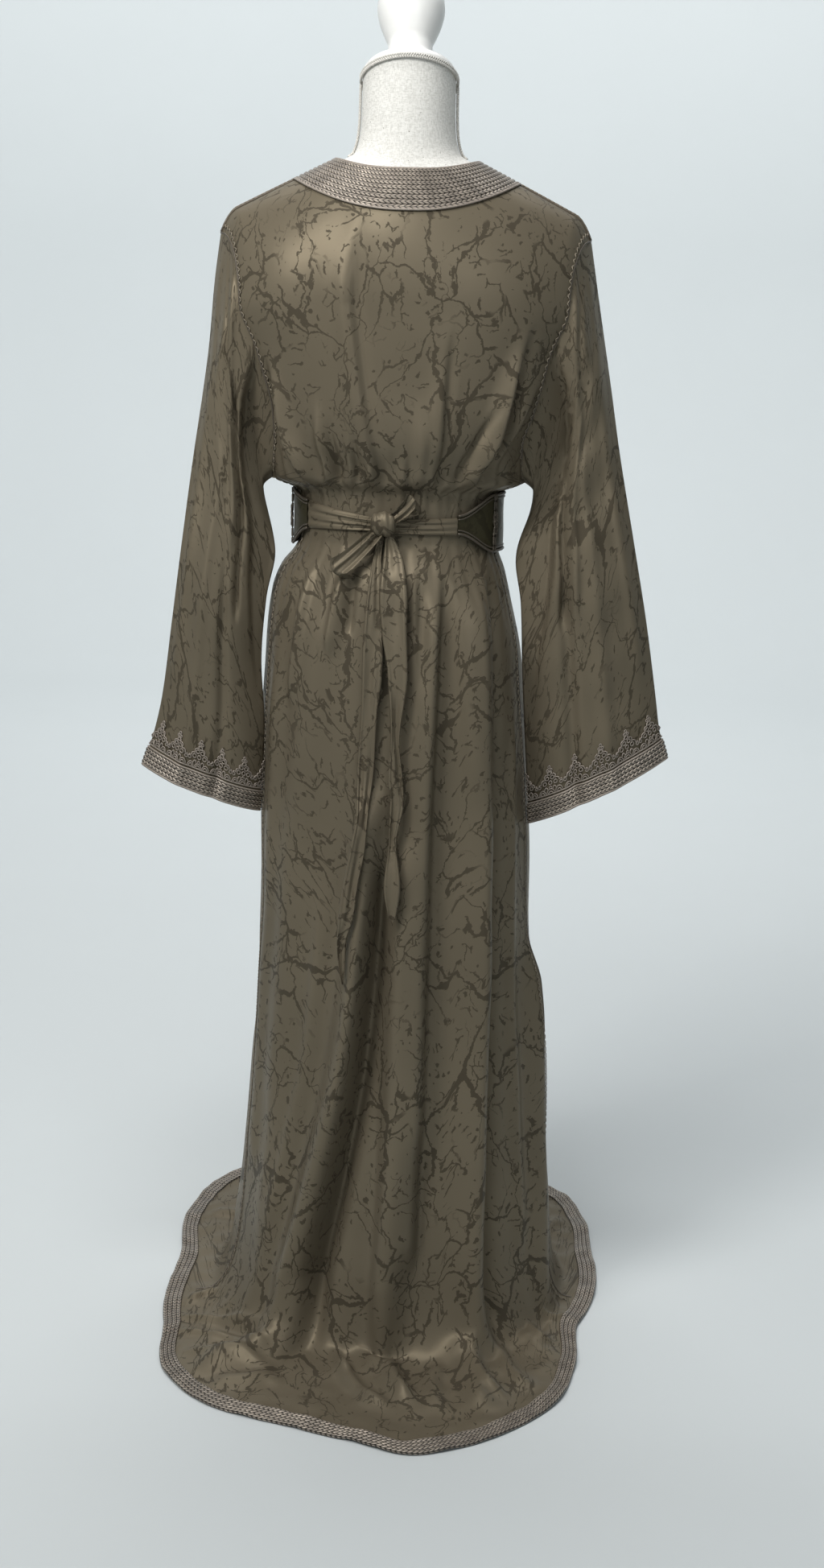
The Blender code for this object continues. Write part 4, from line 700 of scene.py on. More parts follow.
def ripple(a, b, seed, scale, height):
    """Even random undulation of cloth over two cloth coordinates, in metres."""
    rng = np.random.default_rng(seed)
    total = np.zeros(np.broadcast(a, b).shape)
    for _ in range(9):
        turn = rng.uniform(0, 2 * math.pi)
        pitch = scale * rng.uniform(0.6, 1.8)
        phase = rng.uniform(0, 2 * math.pi)
        total = total + np.sin((a * math.cos(turn) + b * math.sin(turn)) * 2 * math.pi / pitch
                               + phase)
    return total * height / 3


def fine_standing(z, angle):
    x, y = section(z, angle)
    deeper = 1 + 0.35 * smooth_step((0.75 - z) / 0.35)
    out = fold_height(z, angle) * deeper + crease_height(z, angle)
    out = out + ripple(angle * 0.17, z, 3, 0.14, 0.0010)
    turned = (angle + math.pi) % (2 * math.pi) - math.pi
    drawn = smooth_step((math.radians(58) - np.abs(turned)) / math.radians(24))
    out = out - GATHER_DEPTH * drawn * np.exp(-((z - GATHER_Z) / GATHER_RUN) ** 2)
    pleats = 0.0013 * np.sin(turned * 31 + 1.3) + 0.0009 * np.sin(turned * 53 + 0.4)
    near_belt = np.exp(-((z - 1.052) / 0.030) ** 2) + 0.4 * np.exp(-((z - 0.935) / 0.045) ** 2)
    out = out + pleats * near_belt
    x = x + out * np.sin(angle)
    y = y - out * np.cos(angle)
    return np.stack(np.broadcast_arrays(x, y, z), axis=-1)


def swirl_height(x, y):
    total = np.zeros_like(x)
    for angle1, radius1, angle2, radius2, width, height in SWIRLS:
        start = np.array([math.sin(math.radians(angle1)), -math.cos(math.radians(angle1))])
        end = np.array([math.sin(math.radians(angle2)), -math.cos(math.radians(angle2))])
        start = start * radius1
        along = end * radius2 - start
        length = np.hypot(*along)
        t = ((x - start[0]) * along[0] + (y - start[1]) * along[1]) / length ** 2
        bend = 0.35 * length * np.clip(t, 0, 1) * (1 - np.clip(t, 0, 1))
        across = ((x - start[0]) * along[1] - (y - start[1]) * along[0]) / length - bend
        fade = smooth_step((t + 0.25) / 0.35) * smooth_step((1.2 - t) / 0.45)
        total = total + height * fade * np.exp(-(across / width) ** 2)
    return total


def fine_floor(angle, breaks, runs):
    """Rows from the foot of the skirt out over the floor to the hem."""
    foot = fine_standing(FOOT_Z + 0.0 * angle, angle)
    radius = np.hypot(foot[:, 0], foot[:, 1])
    polar = np.arctan2(foot[:, 0], -foot[:, 1])
    degrees = np.degrees(polar)
    hem = look_up(FLOOR, FLOOR_COLUMNS, "hem", degrees)
    reach = np.maximum(look_up(FLOOR, FLOOR_COLUMNS, "break_radius", degrees), radius + 0.012)
    fold = fold_height(FOOT_Z, angle) + crease_height(FOOT_Z, angle)
    low_radius = radius + 0.25 * (reach - radius)
    low_z = FLOOR_TOP + 0.004
    rows = []

    def lay(r, z):
        x = r * np.sin(polar)
        y = -r * np.cos(polar)
        near_hem = smooth_step((hem - HEM_BAND_WIDTH - r) / 0.05)
        rise = wave_height(x, y) * smooth_step((r - radius) / 0.03) * near_hem
        edge = 0.25 + 0.75 * smooth_step((hem - HEM_BAND_WIDTH * 0.5 - r) / 0.03)
        rise = rise + swirl_height(x, y) * smooth_step((r - radius) / 0.02) * edge
        rise = rise + (0.0012 + ripple(x, y, 5, 0.05, 0.0012)) * smooth_step((r - radius) / 0.03)
        return np.stack([x, y, np.maximum(z + rise, FLOOR_TOP)], axis=-1)

    for t in breaks:
        r = (1 - t) ** 2 * radius + 2 * t * (1 - t) * low_radius + t * t * reach
        z = (1 - t) ** 2 * FOOT_Z + 2 * t * (1 - t) * low_z + t * t * FLOOR_TOP
        rows.append(lay(r, z + 0.35 * fold * smooth_step(2 * t) * (1 - 0.4 * t)))
    for t in runs:
        r = reach + (hem - reach) * t
        rows.append(lay(r, FLOOR_TOP + 0.21 * fold * np.maximum(1 - t, 0) ** 1.5))
    return rows


def fine_panel(u, front):
    """All rows of the back or of a front, from the neckline to the hem."""
    gather = math.radians(YOKE_GATHER)
    gathered = np.sin(u * gather) / math.sin(gather)
    neck_depth = FRONT_NECK_DEPTH if front else BACK_NECK_DEPTH
    band_depth = FRONT_BAND_DEPTH if front else BACK_BAND_DEPTH
    tip_alpha = math.radians(FRONT_TIP_ALPHA if front else BACK_TIP_ALPHA)
    keys = [on_plan(gathered, NECK_HALF, neck_depth, front),
            on_plan(gathered, BAND_HALF, band_depth, front),
            (gathered, tip_alpha + (math.pi / 2 - tip_alpha) * np.abs(gathered) ** TIP_POWER),
            (gathered, 0.0 * u)]
    rows = []
    for k, count in enumerate((BAND_FINE, SHOULDER_FINE, ARM_FINE)):
        for step in range(count):
            t = step / count
            xi = keys[k][0] * (1 - t) + keys[k + 1][0] * t
            alpha = keys[k][1] * (1 - t) + keys[k + 1][1] * t
            rows.append(yoke(xi, alpha, front))
    top = FRONT_YOKE_Z if front else BACK_YOKE_Z
    count = round((BACK_YOKE_Z - UNDERARM_Z) / STAND_STEP)
    upper = np.linspace(top, UNDERARM_Z, count + 1)
    lower = np.arange(UNDERARM_Z - STAND_STEP, FOOT_Z + 0.001, -STAND_STEP)
    for z in [*upper, *lower, FOOT_Z]:
        share = smooth_step((z - UNDERARM_Z) / (top - UNDERARM_Z))
        here = u + (gathered - u) * share
        angle = panel_angle(here, z, front)
        rows.append(fine_standing(z + 0.0 * u, angle))
    rows.extend(fine_floor(panel_angle(u, FOOT_Z, front), np.linspace(0, 1, 25)[1:],
                           np.linspace(0, 1, FLOOR_FINE + 1)[1:]))
    rows = np.array(rows)
    yoke_end = BAND_FINE + SHOULDER_FINE + ARM_FINE
    seam = rows[yoke_end]
    lean = smooth_step(np.arange(yoke_end) / yoke_end)[:, None, None]
    drop = seam - np.array(yoke(gathered, 0.0 * u, front))
    rows[:yoke_end] += lean ** 3 * drop
    return rows


def dress_sleeve(side, grid):
    """Adds the furrows and rolls to a sleeve: down its rows, round its columns."""
    rows, columns = grid.shape[:2]
    middle = grid.mean(axis=1, keepdims=True)
    outer = grid[:, :1]
    width = np.ptp(grid[..., 0], axis=1)[:, None]
    p = np.abs(grid[..., 0] - outer[..., 0]) / np.maximum(width, 1e-6)
    back = grid[..., 1] < middle[..., 1]
    s = np.linspace(0, 1, rows)[:, None]
    push = np.zeros((rows, columns))
    for which, face, p1, p2, s1, s2, wide, height in SLEEVE_CREASES:
        if which != side:
            continue
        t = np.clip((s - s1) / (s2 - s1), 0, 1)
        crest = p1 + (p2 - p1) * t
        fade = smooth_step((s - s1) / 0.08 + 0.5) * smooth_step((s2 - s) / 0.08 + 0.5)
        here = back if face < 0 else ~back
        push += here * height * fade * np.exp(-((p - crest) / wide) ** 2)
    push += ripple(p * 0.15, s * 0.65, 11 + side, 0.11, 0.0012) * smooth_step(s / 0.08)
    round_edge = smooth_step(p / 0.06) * smooth_step((1 - p) / 0.06)
    grid[..., 1] += np.where(back, -1, 1) * push * round_edge * smooth_step(s / 0.05)
    return grid


def fine_grids():
    u_back = np.linspace(-1, 1, BACK_FINE + 1)
    u_front = np.linspace(1e-6, 1, FRONT_FINE + 1)
    grids = {"back": fine_panel(u_back, False),
             "front_right": fine_panel(u_front, True)[:, ::-1],
             "front_left": fine_panel(-u_front, True)}
    first_arm = BAND_FINE + SHOULDER_FINE
    underarm = first_arm + ARM_FINE + round((BACK_YOKE_Z - UNDERARM_Z) / STAND_STEP)
    arm = range(first_arm, underarm + 1)
    shares = np.linspace(0, 1, SLEEVE_FINE + 1)
    for side, name, back_column, front_name, front_column in (
            (-1, "sleeve_left", 0, "front_left", FRONT_FINE),
            (1, "sleeve_right", BACK_FINE, "front_right", 0)):
        down = [grids["back"][r, back_column] for r in arm]
        up = [grids[front_name][r, front_column] for r in reversed(arm)]
        loop = np.array(down + up[1:-1])
        grids[name] = dress_sleeve(side, sleeve_grid(side, loop, shares))
        grids[name][0] = loop
    return grids


# Meshes

def link(obj):
    bpy.context.scene.collection.objects.link(obj)
    return obj


def mesh_from(name, points, faces, material, uv=None, smooth=True):
    """Mesh object from arrays of points and equal faces, with cloth coordinates on its corners."""
    mesh = bpy.data.meshes.new(name)
    points = np.asarray(points, np.float32)
    faces = np.asarray(faces, np.int32)
    sides = faces.shape[1]
    mesh.vertices.add(len(points))
    mesh.vertices.foreach_set("co", points.ravel())
    mesh.loops.add(faces.size)
    mesh.loops.foreach_set("vertex_index", faces.ravel())
    mesh.polygons.add(len(faces))
    mesh.polygons.foreach_set("loop_start", np.arange(0, faces.size, sides, dtype=np.int32))
    mesh.polygons.foreach_set("use_smooth", np.full(len(faces), smooth))
    if uv is not None:
        layer = mesh.uv_layers.new(name="cloth")
        layer.data.foreach_set("uv", np.asarray(uv, np.float32).ravel())
    mesh.update(calc_edges=True)
    mesh.validate()
    mesh.materials.append(material)
    return link(bpy.data.objects.new(name, mesh))


def grid_mesh(name, points, uv, material, wrap=False, outward=True):
    """Surface through a grid; uv has one column more than the points where it wraps."""
    rows, columns = points.shape[:2]
    last = columns if wrap else columns - 1
    r, c = np.meshgrid(np.arange(rows - 1), np.arange(last), indexing="ij")
    r, c = r.ravel(), c.ravel()
    d = (c + 1) % columns
    faces = np.stack([r * columns + c, (r + 1) * columns + c, (r + 1) * columns + d,
                      r * columns + d], axis=1)
    corners = np.stack([uv[r, c], uv[r + 1, c], uv[r + 1, c + 1], uv[r, c + 1]], axis=1)
    if not outward:
        faces = faces[:, ::-1]
        corners = corners[:, ::-1]
    return mesh_from(name, points.reshape(-1, 3), faces, material, corners)


def outward_normals(points, wrap):
    """Normals away from the middle of each row, and whether the grid itself faces outward."""
    normals = grid_normals(points, wrap)
    middle = points.mean(axis=1, keepdims=True)
    if not wrap:
        middle = middle * 0.0
        middle[..., 2] = points[..., 2].mean(axis=1, keepdims=True)
    outward = np.sum(normals * (points - middle)) > 0
    return normals if outward else -normals, outward


def cloth_uv(points, centre, wrap, offset):
    """Cloth coordinates in metres, measured along the rows and down the columns."""
    grid = np.concatenate([points, points[:, :1]], axis=1) if wrap else points
    across = np.linalg.norm(np.diff(grid, axis=1), axis=2)
    u = np.concatenate([np.zeros((len(grid), 1)), np.cumsum(across, axis=1)], axis=1)
    u = u - u[:, centre:centre + 1]
    down = np.linalg.norm(np.diff(grid, axis=0), axis=2)
    v = np.concatenate([np.zeros((1, grid.shape[1])), np.cumsum(down, axis=0)])
    reference = len(grid) // 5
    v = v - v[reference:reference + 1] + v[reference, centre]
    return np.stack([u + offset[0], -v + offset[1]], axis=-1)


def tube_arrays(path, radius, sides=6, closed=False, squash=1.0, up=(0.0, 0.0, 1.0)):
    """Points and faces of a cord along a path."""
    path = np.asarray(path, float)
    if closed:
        tangent = unit(np.roll(path, -1, axis=0) - np.roll(path, 1, axis=0))
    else:
        tangent = unit(np.gradient(path, axis=0))
    up = np.broadcast_to(np.asarray(up, float), path.shape)
    side = unit(np.cross(tangent, up) + 1e-9)
    top = unit(np.cross(side, tangent))
    turn = np.arange(sides) * 2 * math.pi / sides
    ring = (np.cos(turn)[None, :, None] * side[:, None] * radius
            + np.sin(turn)[None, :, None] * top[:, None] * radius * squash)
    points = (path[:, None] + ring).reshape(-1, 3)
    count = len(path)
    steps = count if closed else count - 1
    k, m = np.meshgrid(np.arange(steps), np.arange(sides), indexing="ij")
    k, m = k.ravel(), m.ravel()
    n = (m + 1) % sides
    e = (k + 1) % count
    faces = np.stack([k * sides + m, k * sides + n, e * sides + n, e * sides + m], axis=1)
    if closed:
        return points, faces
    start, end = len(points), len(points) + 1
    points = np.vstack([points, path[:1], path[-1:]])
    m = np.arange(sides)
    n = (m + 1) % sides
    base = (count - 1) * sides
    caps = np.concatenate([np.stack([n, m, m * 0 + start, m * 0 + start], axis=1),
                           np.stack([base + m, base + n, m * 0 + end, m * 0 + end], axis=1)])
    return points, np.vstack([faces, caps])


def join_arrays(parts):
    points, faces, start = [], [], 0
    for p, f in parts:
        points.append(p)
        faces.append(f + start)
        start += len(p)
    return np.vstack(points), np.vstack(faces)


def cords_mesh(name, parts, material):
    """One mesh of many cords; faces whose last corners agree become triangles."""
    points, faces = join_arrays(parts)
    flat = faces[:, 2] == faces[:, 3]
    mesh = bpy.data.meshes.new(name)
    mesh.from_pydata(points.tolist(), [], faces[~flat].tolist() + faces[flat, :3].tolist())
    mesh.shade_smooth()
    mesh.materials.append(material)
    return link(bpy.data.objects.new(name, mesh))


def on_grid(grid, r, c, wrap=False):
    """Points of a grid at fractional rows and columns."""
    rows, columns = grid.shape[:2]
    r = np.clip(r, 0, rows - 1.0001)
    r0 = np.floor(r).astype(int)
    a = (r - r0)[..., None]
    if wrap:
        c = np.mod(c, columns)
        c0 = np.floor(c).astype(int) % columns
        c1 = (c0 + 1) % columns
    else:
        c = np.clip(c, 0, columns - 1.0001)
        c0 = np.floor(c).astype(int)
        c1 = c0 + 1
    b = (c - np.floor(c))[..., None]
    return ((1 - a) * (1 - b) * grid[r0, c0] + a * (1 - b) * grid[r0 + 1, c0]
            + (1 - a) * b * grid[r0, c1] + a * b * grid[r0 + 1, c1])


def ready(piece, *nodes, slot=None):
    """Hangs a finished piece on the frame in place of the named solids."""
    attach(piece, "root")
    if nodes:
        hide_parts(*nodes)
    return piece


# Materials

class Graph:
    """Builds one material's shader graph."""

    def __init__(self, name, colour, roughness, metallic=0.0):
        self.material = bpy.data.materials.new(name)
        self.material.use_nodes = True
        self.material.diffuse_color = (*colour, 1.0)
        self.tree = self.material.node_tree
        self.shader = self.tree.nodes["Principled BSDF"]
        self.shader.inputs["Base Color"].default_value = (*colour, 1.0)
        self.shader.inputs["Roughness"].default_value = roughness
        self.shader.inputs["Metallic"].default_value = metallic

    def add(self, kind, settings=(), **inputs):
        node = self.tree.nodes.new(kind)
        for name, value in dict(settings).items():
            setattr(node, name, value)
        for name, value in inputs.items():
            self.feed(node.inputs[name.replace("_", " ")], value)
        return node

    def feed(self, socket, value):
        if isinstance(value, bpy.types.NodeSocket):
            self.tree.links.new(value, socket)
        else:
            socket.default_value = value

    def maths(self, operation, a, b=0.0, c=0.0):
        node = self.tree.nodes.new("ShaderNodeMath")
        node.operation = operation
        for socket, value in zip(node.inputs, (a, b, c)):
            self.feed(socket, value)
        return node.outputs[0]

    def vector(self, operation, a, b):
        node = self.tree.nodes.new("ShaderNodeVectorMath")
        node.operation = operation
        self.feed(node.inputs[0], a)
        if operation == "SCALE":
            self.feed(node.inputs["Scale"], b)
        else:
            self.feed(node.inputs[1], b)
        return node.outputs[0]

    def steps(self, value, low, high, start=0.0, end=1.0):
        node = self.add("ShaderNodeMapRange", {"interpolation_type": "SMOOTHSTEP"})
        for name, number in (("Value", value), ("From Min", low), ("From Max", high),
                             ("To Min", start), ("To Max", end)):
            self.feed(node.inputs[name], number)
        return node.outputs["Result"]

    def mix(self, share, a, b):
        node = self.add("ShaderNodeMix", {"data_type": "RGBA"})
        self.feed(node.inputs[0], share)
        self.feed(node.inputs[6], a)
        self.feed(node.inputs[7], b)
        return node.outputs[2]

    def noise(self, vector, scale, detail=2.0, roughness=0.5):
        return self.add("ShaderNodeTexNoise", {"noise_dimensions": "3D"}, Vector=vector,
                        Scale=scale, Detail=detail, Roughness=roughness)

    def cells(self, vector, scale, feature="DISTANCE_TO_EDGE"):
        node = self.add("ShaderNodeTexVoronoi",
                        {"voronoi_dimensions": "2D", "feature": feature},
                        Vector=vector, Scale=scale)
        return node

    def cloth(self):
        return self.add("ShaderNodeUVMap", {"uv_map": "cloth"}).outputs[0]

    def place(self):
        return self.add("ShaderNodeTexCoord").outputs["Object"]

    def bump(self, height, distance, strength=1.0):
        node = self.add("ShaderNodeBump", Height=height, Strength=strength, Distance=distance)
        self.tree.links.new(node.outputs[0], self.shader.inputs["Normal"])

    def set(self, **values):
        for name, value in values.items():
            self.feed(self.shader.inputs[name.replace("_", " ")], value)


def veins(graph, cloth):
    """Share of dark branching veins and specks at a place on the cloth."""
    wander = graph.vector("SUBTRACT", graph.noise(cloth, 9.0, 3.0, 0.6).outputs["Color"],
                          (0.5, 0.5, 0.5))
    jag = graph.vector("SUBTRACT", graph.noise(cloth, 75.0, 3.0, 0.7).outputs["Color"],
                       (0.5, 0.5, 0.5))
    bent = graph.vector("ADD", cloth, graph.vector("SCALE", wander, 0.085))
    bent = graph.vector("ADD", bent, graph.vector("SCALE", jag, 0.0125))
    tall = graph.vector("MULTIPLY", bent, (1.0, 0.62, 1.0))
    patch = graph.noise(cloth, 7.0, 2.0).outputs[0]
    gate = graph.noise(graph.vector("ADD", cloth, (3.1, 1.7, 0.0)), 11.0, 2.0).outputs[0]
    rough = graph.noise(cloth, 160.0, 3.0, 0.7).outputs[0]
    trunk = graph.cells(tall, 12.5).outputs["Distance"]
    width = graph.maths("MULTIPLY", graph.steps(patch, 0.42, 0.68), 0.028)
    width = graph.maths("ADD", width, 0.008)
    width = graph.maths("MULTIPLY", width, graph.maths("ADD", rough, 0.55))
    trunk_mask = graph.maths("SUBTRACT", 1.0, graph.steps(graph.maths("DIVIDE", trunk, width),
                                                          0.85, 1.05))
    trunk_mask = graph.maths("MULTIPLY", trunk_mask, graph.steps(gate, 0.40, 0.43))
    twig = graph.cells(tall, 31.0).outputs["Distance"]
    twig_width = graph.maths("MULTIPLY", graph.steps(gate, 0.62, 0.40), 0.038)
    twig_width = graph.maths("ADD", twig_width, 0.012)
    twig_width = graph.maths("MULTIPLY", twig_width, graph.maths("ADD", rough, 0.45))
    twig_mask = graph.maths("SUBTRACT", 1.0, graph.steps(graph.maths("DIVIDE", twig, twig_width),
                                                         0.8, 1.1))
    near = graph.steps(trunk, 0.40, 0.20)
    sparse = graph.noise(graph.vector("ADD", cloth, (7.3, 5.9, 0.0)), 21.0, 2.0).outputs[0]
    twig_gate = graph.maths("MULTIPLY", graph.steps(sparse, 0.46, 0.50), near)
    twig_mask = graph.maths("MULTIPLY", twig_mask, twig_gate)
    hair = graph.cells(bent, 62.0).outputs["Distance"]
    hair_mask = graph.steps(hair, 0.085, 0.045)
    hair_gate = graph.noise(graph.vector("ADD", cloth, (1.9, 8.3, 0.0)), 46.0, 2.0).outputs[0]
    hair_gate = graph.maths("MULTIPLY", graph.steps(hair_gate, 0.54, 0.57),
                            graph.steps(patch, 0.36, 0.50))
    hair_mask = graph.maths("MULTIPLY", hair_mask, hair_gate)
    blob = graph.noise(graph.vector("MULTIPLY", bent, (1.0, 0.7, 1.0)), 34.0, 4.0, 0.65).outputs[0]
    blob_mask = graph.maths("MULTIPLY", graph.steps(blob, 0.635, 0.65),
                            graph.steps(trunk, 0.13, 0.07))
    dots = graph.cells(graph.vector("MULTIPLY", bent, (1.0, 0.6, 1.0)), 120.0, "F1")
    size = graph.maths("MULTIPLY", graph.steps(dots.outputs["Color"], 0.55, 1.0), 0.36)
    dot_mask = graph.steps(graph.maths("SUBTRACT", dots.outputs["Distance"], size), 0.0, -0.06)
    total = graph.maths("MAXIMUM", trunk_mask, twig_mask)
    total = graph.maths("MAXIMUM", total, hair_mask)
    total = graph.maths("MAXIMUM", total, blob_mask)
    return graph.maths("MAXIMUM", total, dot_mask)


def satin(name, ground, figure, shine=0.40, plain=False):
    """Silk satin with a matte woven figure."""
    graph = Graph(name, ground, shine, 0.22)
    cloth = graph.cloth()
    tone = graph.noise(cloth, 5.0, 2.0).outputs[0]
    base = graph.mix(graph.steps(tone, 0.35, 0.65), (*ground, 1.0),
                     (*[0.90 * part for part in ground], 1.0))
    if not plain:
        figure_share = veins(graph, cloth)
        base = graph.mix(graph.maths("MULTIPLY", figure_share, 0.92), base, (*figure, 1.0))
        graph.set(Roughness=graph.maths("ADD", graph.maths("MULTIPLY", figure_share, 0.16), shine))
        graph.set(Metallic=graph.maths("MULTIPLY_ADD", figure_share, -0.18, 0.22))
    graph.set(Base_Color=base)
    thread = graph.noise(graph.vector("MULTIPLY", cloth, (900.0, 260.0, 1.0)), 1.0, 1.0).outputs[0]
    soft = graph.noise(cloth, 28.0, 2.0).outputs[0]
    height = graph.maths("ADD", graph.maths("MULTIPLY", thread, 0.03), soft)
    graph.bump(height, 0.0012, 0.30)
    graph.set(Specular_IOR_Level=0.30, Specular_Tint=(0.42, 0.36, 0.27, 1.0))
    return graph.material


def braid(name, thread, gap, depth=0.0007):
    """Flat plaits side by side: x counts the stitches along and y the plaits across. The colour
    sinks to the near-black gap colour where the strands are low, between them and at the plaits'
    edges: painted shade in the braid's gaps.
    """
    graph = Graph(name, thread, 0.40, 0.35)
    cloth = graph.cloth()
    parts = graph.add("ShaderNodeSeparateXYZ", Vector=cloth)
    along, across = parts.outputs[0], parts.outputs[1]
    row = graph.maths("FLOOR", across)
    local = graph.maths("FRACT", across)
    local = graph.maths("ABSOLUTE", graph.maths("MULTIPLY_ADD", local, 2.0, -1.0))
    shift = graph.noise(graph.add("ShaderNodeCombineXYZ", X=row, Y=0.0, Z=0.0).outputs[0], 3.7)
    phase = graph.maths("MULTIPLY_ADD", local, 0.85, along)
    phase = graph.maths("ADD", phase, shift.outputs[0])
    strand = graph.maths("FRACT", phase)
    strand = graph.maths("MULTIPLY_ADD", strand, 2.0, -1.0)
    crown = graph.maths("SUBTRACT", 1.0, graph.maths("MULTIPLY", strand, strand))
    edge = graph.maths("SUBTRACT", 1.0, graph.maths("POWER", local, 5.0))
    middle = graph.steps(local, 0.0, 0.20, 0.30, 1.0)
    height = graph.maths("MULTIPLY", graph.maths("MULTIPLY", crown, edge), middle)
    wear = graph.noise(cloth, 0.35, 3.0).outputs[0]
    light = graph.mix(graph.steps(wear, 0.35, 0.7), (*thread, 1.0),
                      (*[min(1.0, 1.5 * part) for part in thread], 1.0))
    # painted shade: where the strand height is low the thread colour is mixed to the dark gap
    # colour
    graph.set(Base_Color=graph.mix(graph.steps(height, 0.15, 0.75), (*gap, 1.0), light))
    graph.bump(height, depth, 1.0)
    graph.set(Specular_IOR_Level=0.6)
    return graph.material


def cord_material(name, colour, roughness=0.45, metallic=0.2):
    graph = Graph(name, colour, roughness, metallic)
    fine = graph.noise(graph.place(), 900.0, 2.0).outputs[0]
    graph.set(Base_Color=graph.mix(graph.steps(fine, 0.35, 0.65),
                                   (*[0.7 * part for part in colour], 1.0), (*colour, 1.0)))
    graph.bump(fine, 0.0006, 0.5)
    return graph.material


def linen_material():
    graph = Graph("linen_fine", (0.74, 0.73, 0.69), 0.85)
    place = graph.place()
    wide = graph.noise(graph.vector("MULTIPLY", place, (700.0, 700.0, 240.0)), 1.0, 2.0).outputs[0]
    tall = graph.noise(graph.vector("MULTIPLY", place, (240.0, 240.0, 800.0)), 1.0, 2.0).outputs[0]
    weave = graph.maths("ADD", wide, tall)
    fleck = graph.noise(place, 310.0, 2.0, 0.6).outputs[0]
    base = graph.mix(graph.steps(weave, 0.7, 1.25), (0.62, 0.61, 0.57, 1.0),
                     (0.80, 0.79, 0.75, 1.0))
    graph.set(Base_Color=graph.mix(graph.steps(fleck, 0.70, 0.76), base, (0.20, 0.18, 0.15, 1.0)))
    graph.bump(weave, 0.0005, 0.6)
    return graph.material


def paint_material():
    graph = Graph("paint_fine", (0.80, 0.80, 0.78), 0.32)
    drift = graph.noise(graph.place(), 22.0, 3.0).outputs[0]
    graph.set(Base_Color=graph.mix(drift, (0.78, 0.78, 0.76, 1.0), (0.83, 0.83, 0.81, 1.0)),
              Coat_Weight=0.15, Coat_Roughness=0.25)
    graph.bump(drift, 0.0006, 0.15)
    return graph.material


def steel_material():
    graph = Graph("steel_fine", (0.56, 0.56, 0.57), 0.32, 1.0)
    brush = graph.noise(graph.vector("MULTIPLY", graph.place(), (40.0, 40.0, 900.0)), 1.0, 2.0)
    graph.set(Roughness=graph.steps(brush.outputs[0], 0.3, 0.7, 0.26, 0.42))
    return graph.material


def plain_material(name, colour, roughness):
    graph = Graph(name, colour, roughness)
    drift = graph.noise(graph.place(), 2.0, 2.0).outputs[0]
    graph.set(Base_Color=graph.mix(drift, (*[0.97 * part for part in colour], 1.0),
                                   (*colour, 1.0)))
    return graph.material


# Garment

LIFT = 0.0006               # braid and stitches over the cloth
SATIN_GROUND = (0.160, 0.135, 0.095)
SATIN_FIGURE = (0.060, 0.050, 0.035)
BRAID_THREAD = (0.330, 0.284, 0.236)
# near-black colour painted into the braid's gaps between strands as painted shade
BRAID_GAP_SHADE = (0.018, 0.014, 0.010)


def add_body(grids, materials):
    """Panels and sleeves of fine cloth."""
    centres = {"back": BACK_FINE // 2, "front_right": FRONT_FINE, "front_left": 0,
               "sleeve_left": 0, "sleeve_right": 0}
    made = {}
    for number, (name, grid) in enumerate(grids.items()):
        wrap = name.startswith("sleeve")
        _, outward = outward_normals(grid, wrap)
        uv = cloth_uv(grid, centres[name], wrap, (0.37 + 1.9 * number, 0.21 + 0.83 * number))
        piece = grid_mesh("cloth_" + name, grid, uv, materials["satin"], wrap, outward)
        made[name] = ready(piece, name, slot="satin")
    return made


def band_grid(base, normals, plaits, thick, first=0.0, last=0.0):
    """Cross-section of plaits side by side over a base grid, with both edges turned down."""
    across = len(base)
    share = np.linspace(0, plaits, across)
    local = np.abs(2 * (share % 1.0) - 1)
    arch = np.sqrt(np.clip(1 - local ** 2, 0.0, 1.0))
    rise = (LIFT + thick * (0.40 + 0.60 * arch))[:, None, None]
    points = base + rise * normals
    low = base[:1] + first * normals[:1]
    high = base[-1:] + last * normals[-1:]
    return np.concatenate([low, points, high]), np.concatenate([[-0.2], share, [plaits + 0.2]])


def band_mesh(name, base, normals, plaits, pitch, material, wrap=False, thick=0.0024):
    points, share = band_grid(base, normals, plaits, thick)
    middle = base[len(base) // 2]
    closed = np.vstack([middle, middle[:1]]) if wrap else middle
    run = np.concatenate([[0.0], np.cumsum(np.linalg.norm(np.diff(closed, axis=0), axis=1))])
    uv = np.stack(np.broadcast_arrays(run[None, :] / pitch, share[:, None]), axis=-1)
    facing = np.sum(grid_normals(base, wrap) * normals) > 0
    return grid_mesh(name, points, uv, material, wrap, facing)


def round_neck(shares):
    """Points of the neck band from the right front round the back to the left front."""
    parts = []
    for front, values in ((True, np.linspace(0.003, 0.998, 110)), (False, np.linspace(1, -1, 220)),
                          (True, np.linspace(-0.998, -0.003, 110))):
        depths = (FRONT_NECK_DEPTH, FRONT_BAND_DEPTH) if front else (BACK_NECK_DEPTH,
                                                                    BACK_BAND_DEPTH)
        gather = math.radians(YOKE_GATHER)
        u = np.sin(values * gather) / math.sin(gather)
        inner = on_plan(u, NECK_HALF, depths[0], front)
        outer = on_plan(u, BAND_HALF, depths[1], front)
        rows = []
        for t in shares:
            xi = inner[0] * (1 - t) + outer[0] * t
            alpha = inner[1] * (1 - t) + outer[1] * t
            rows.append(yoke(xi, alpha, front))
        parts.append(np.array(rows))
    return np.concatenate(parts, axis=1)


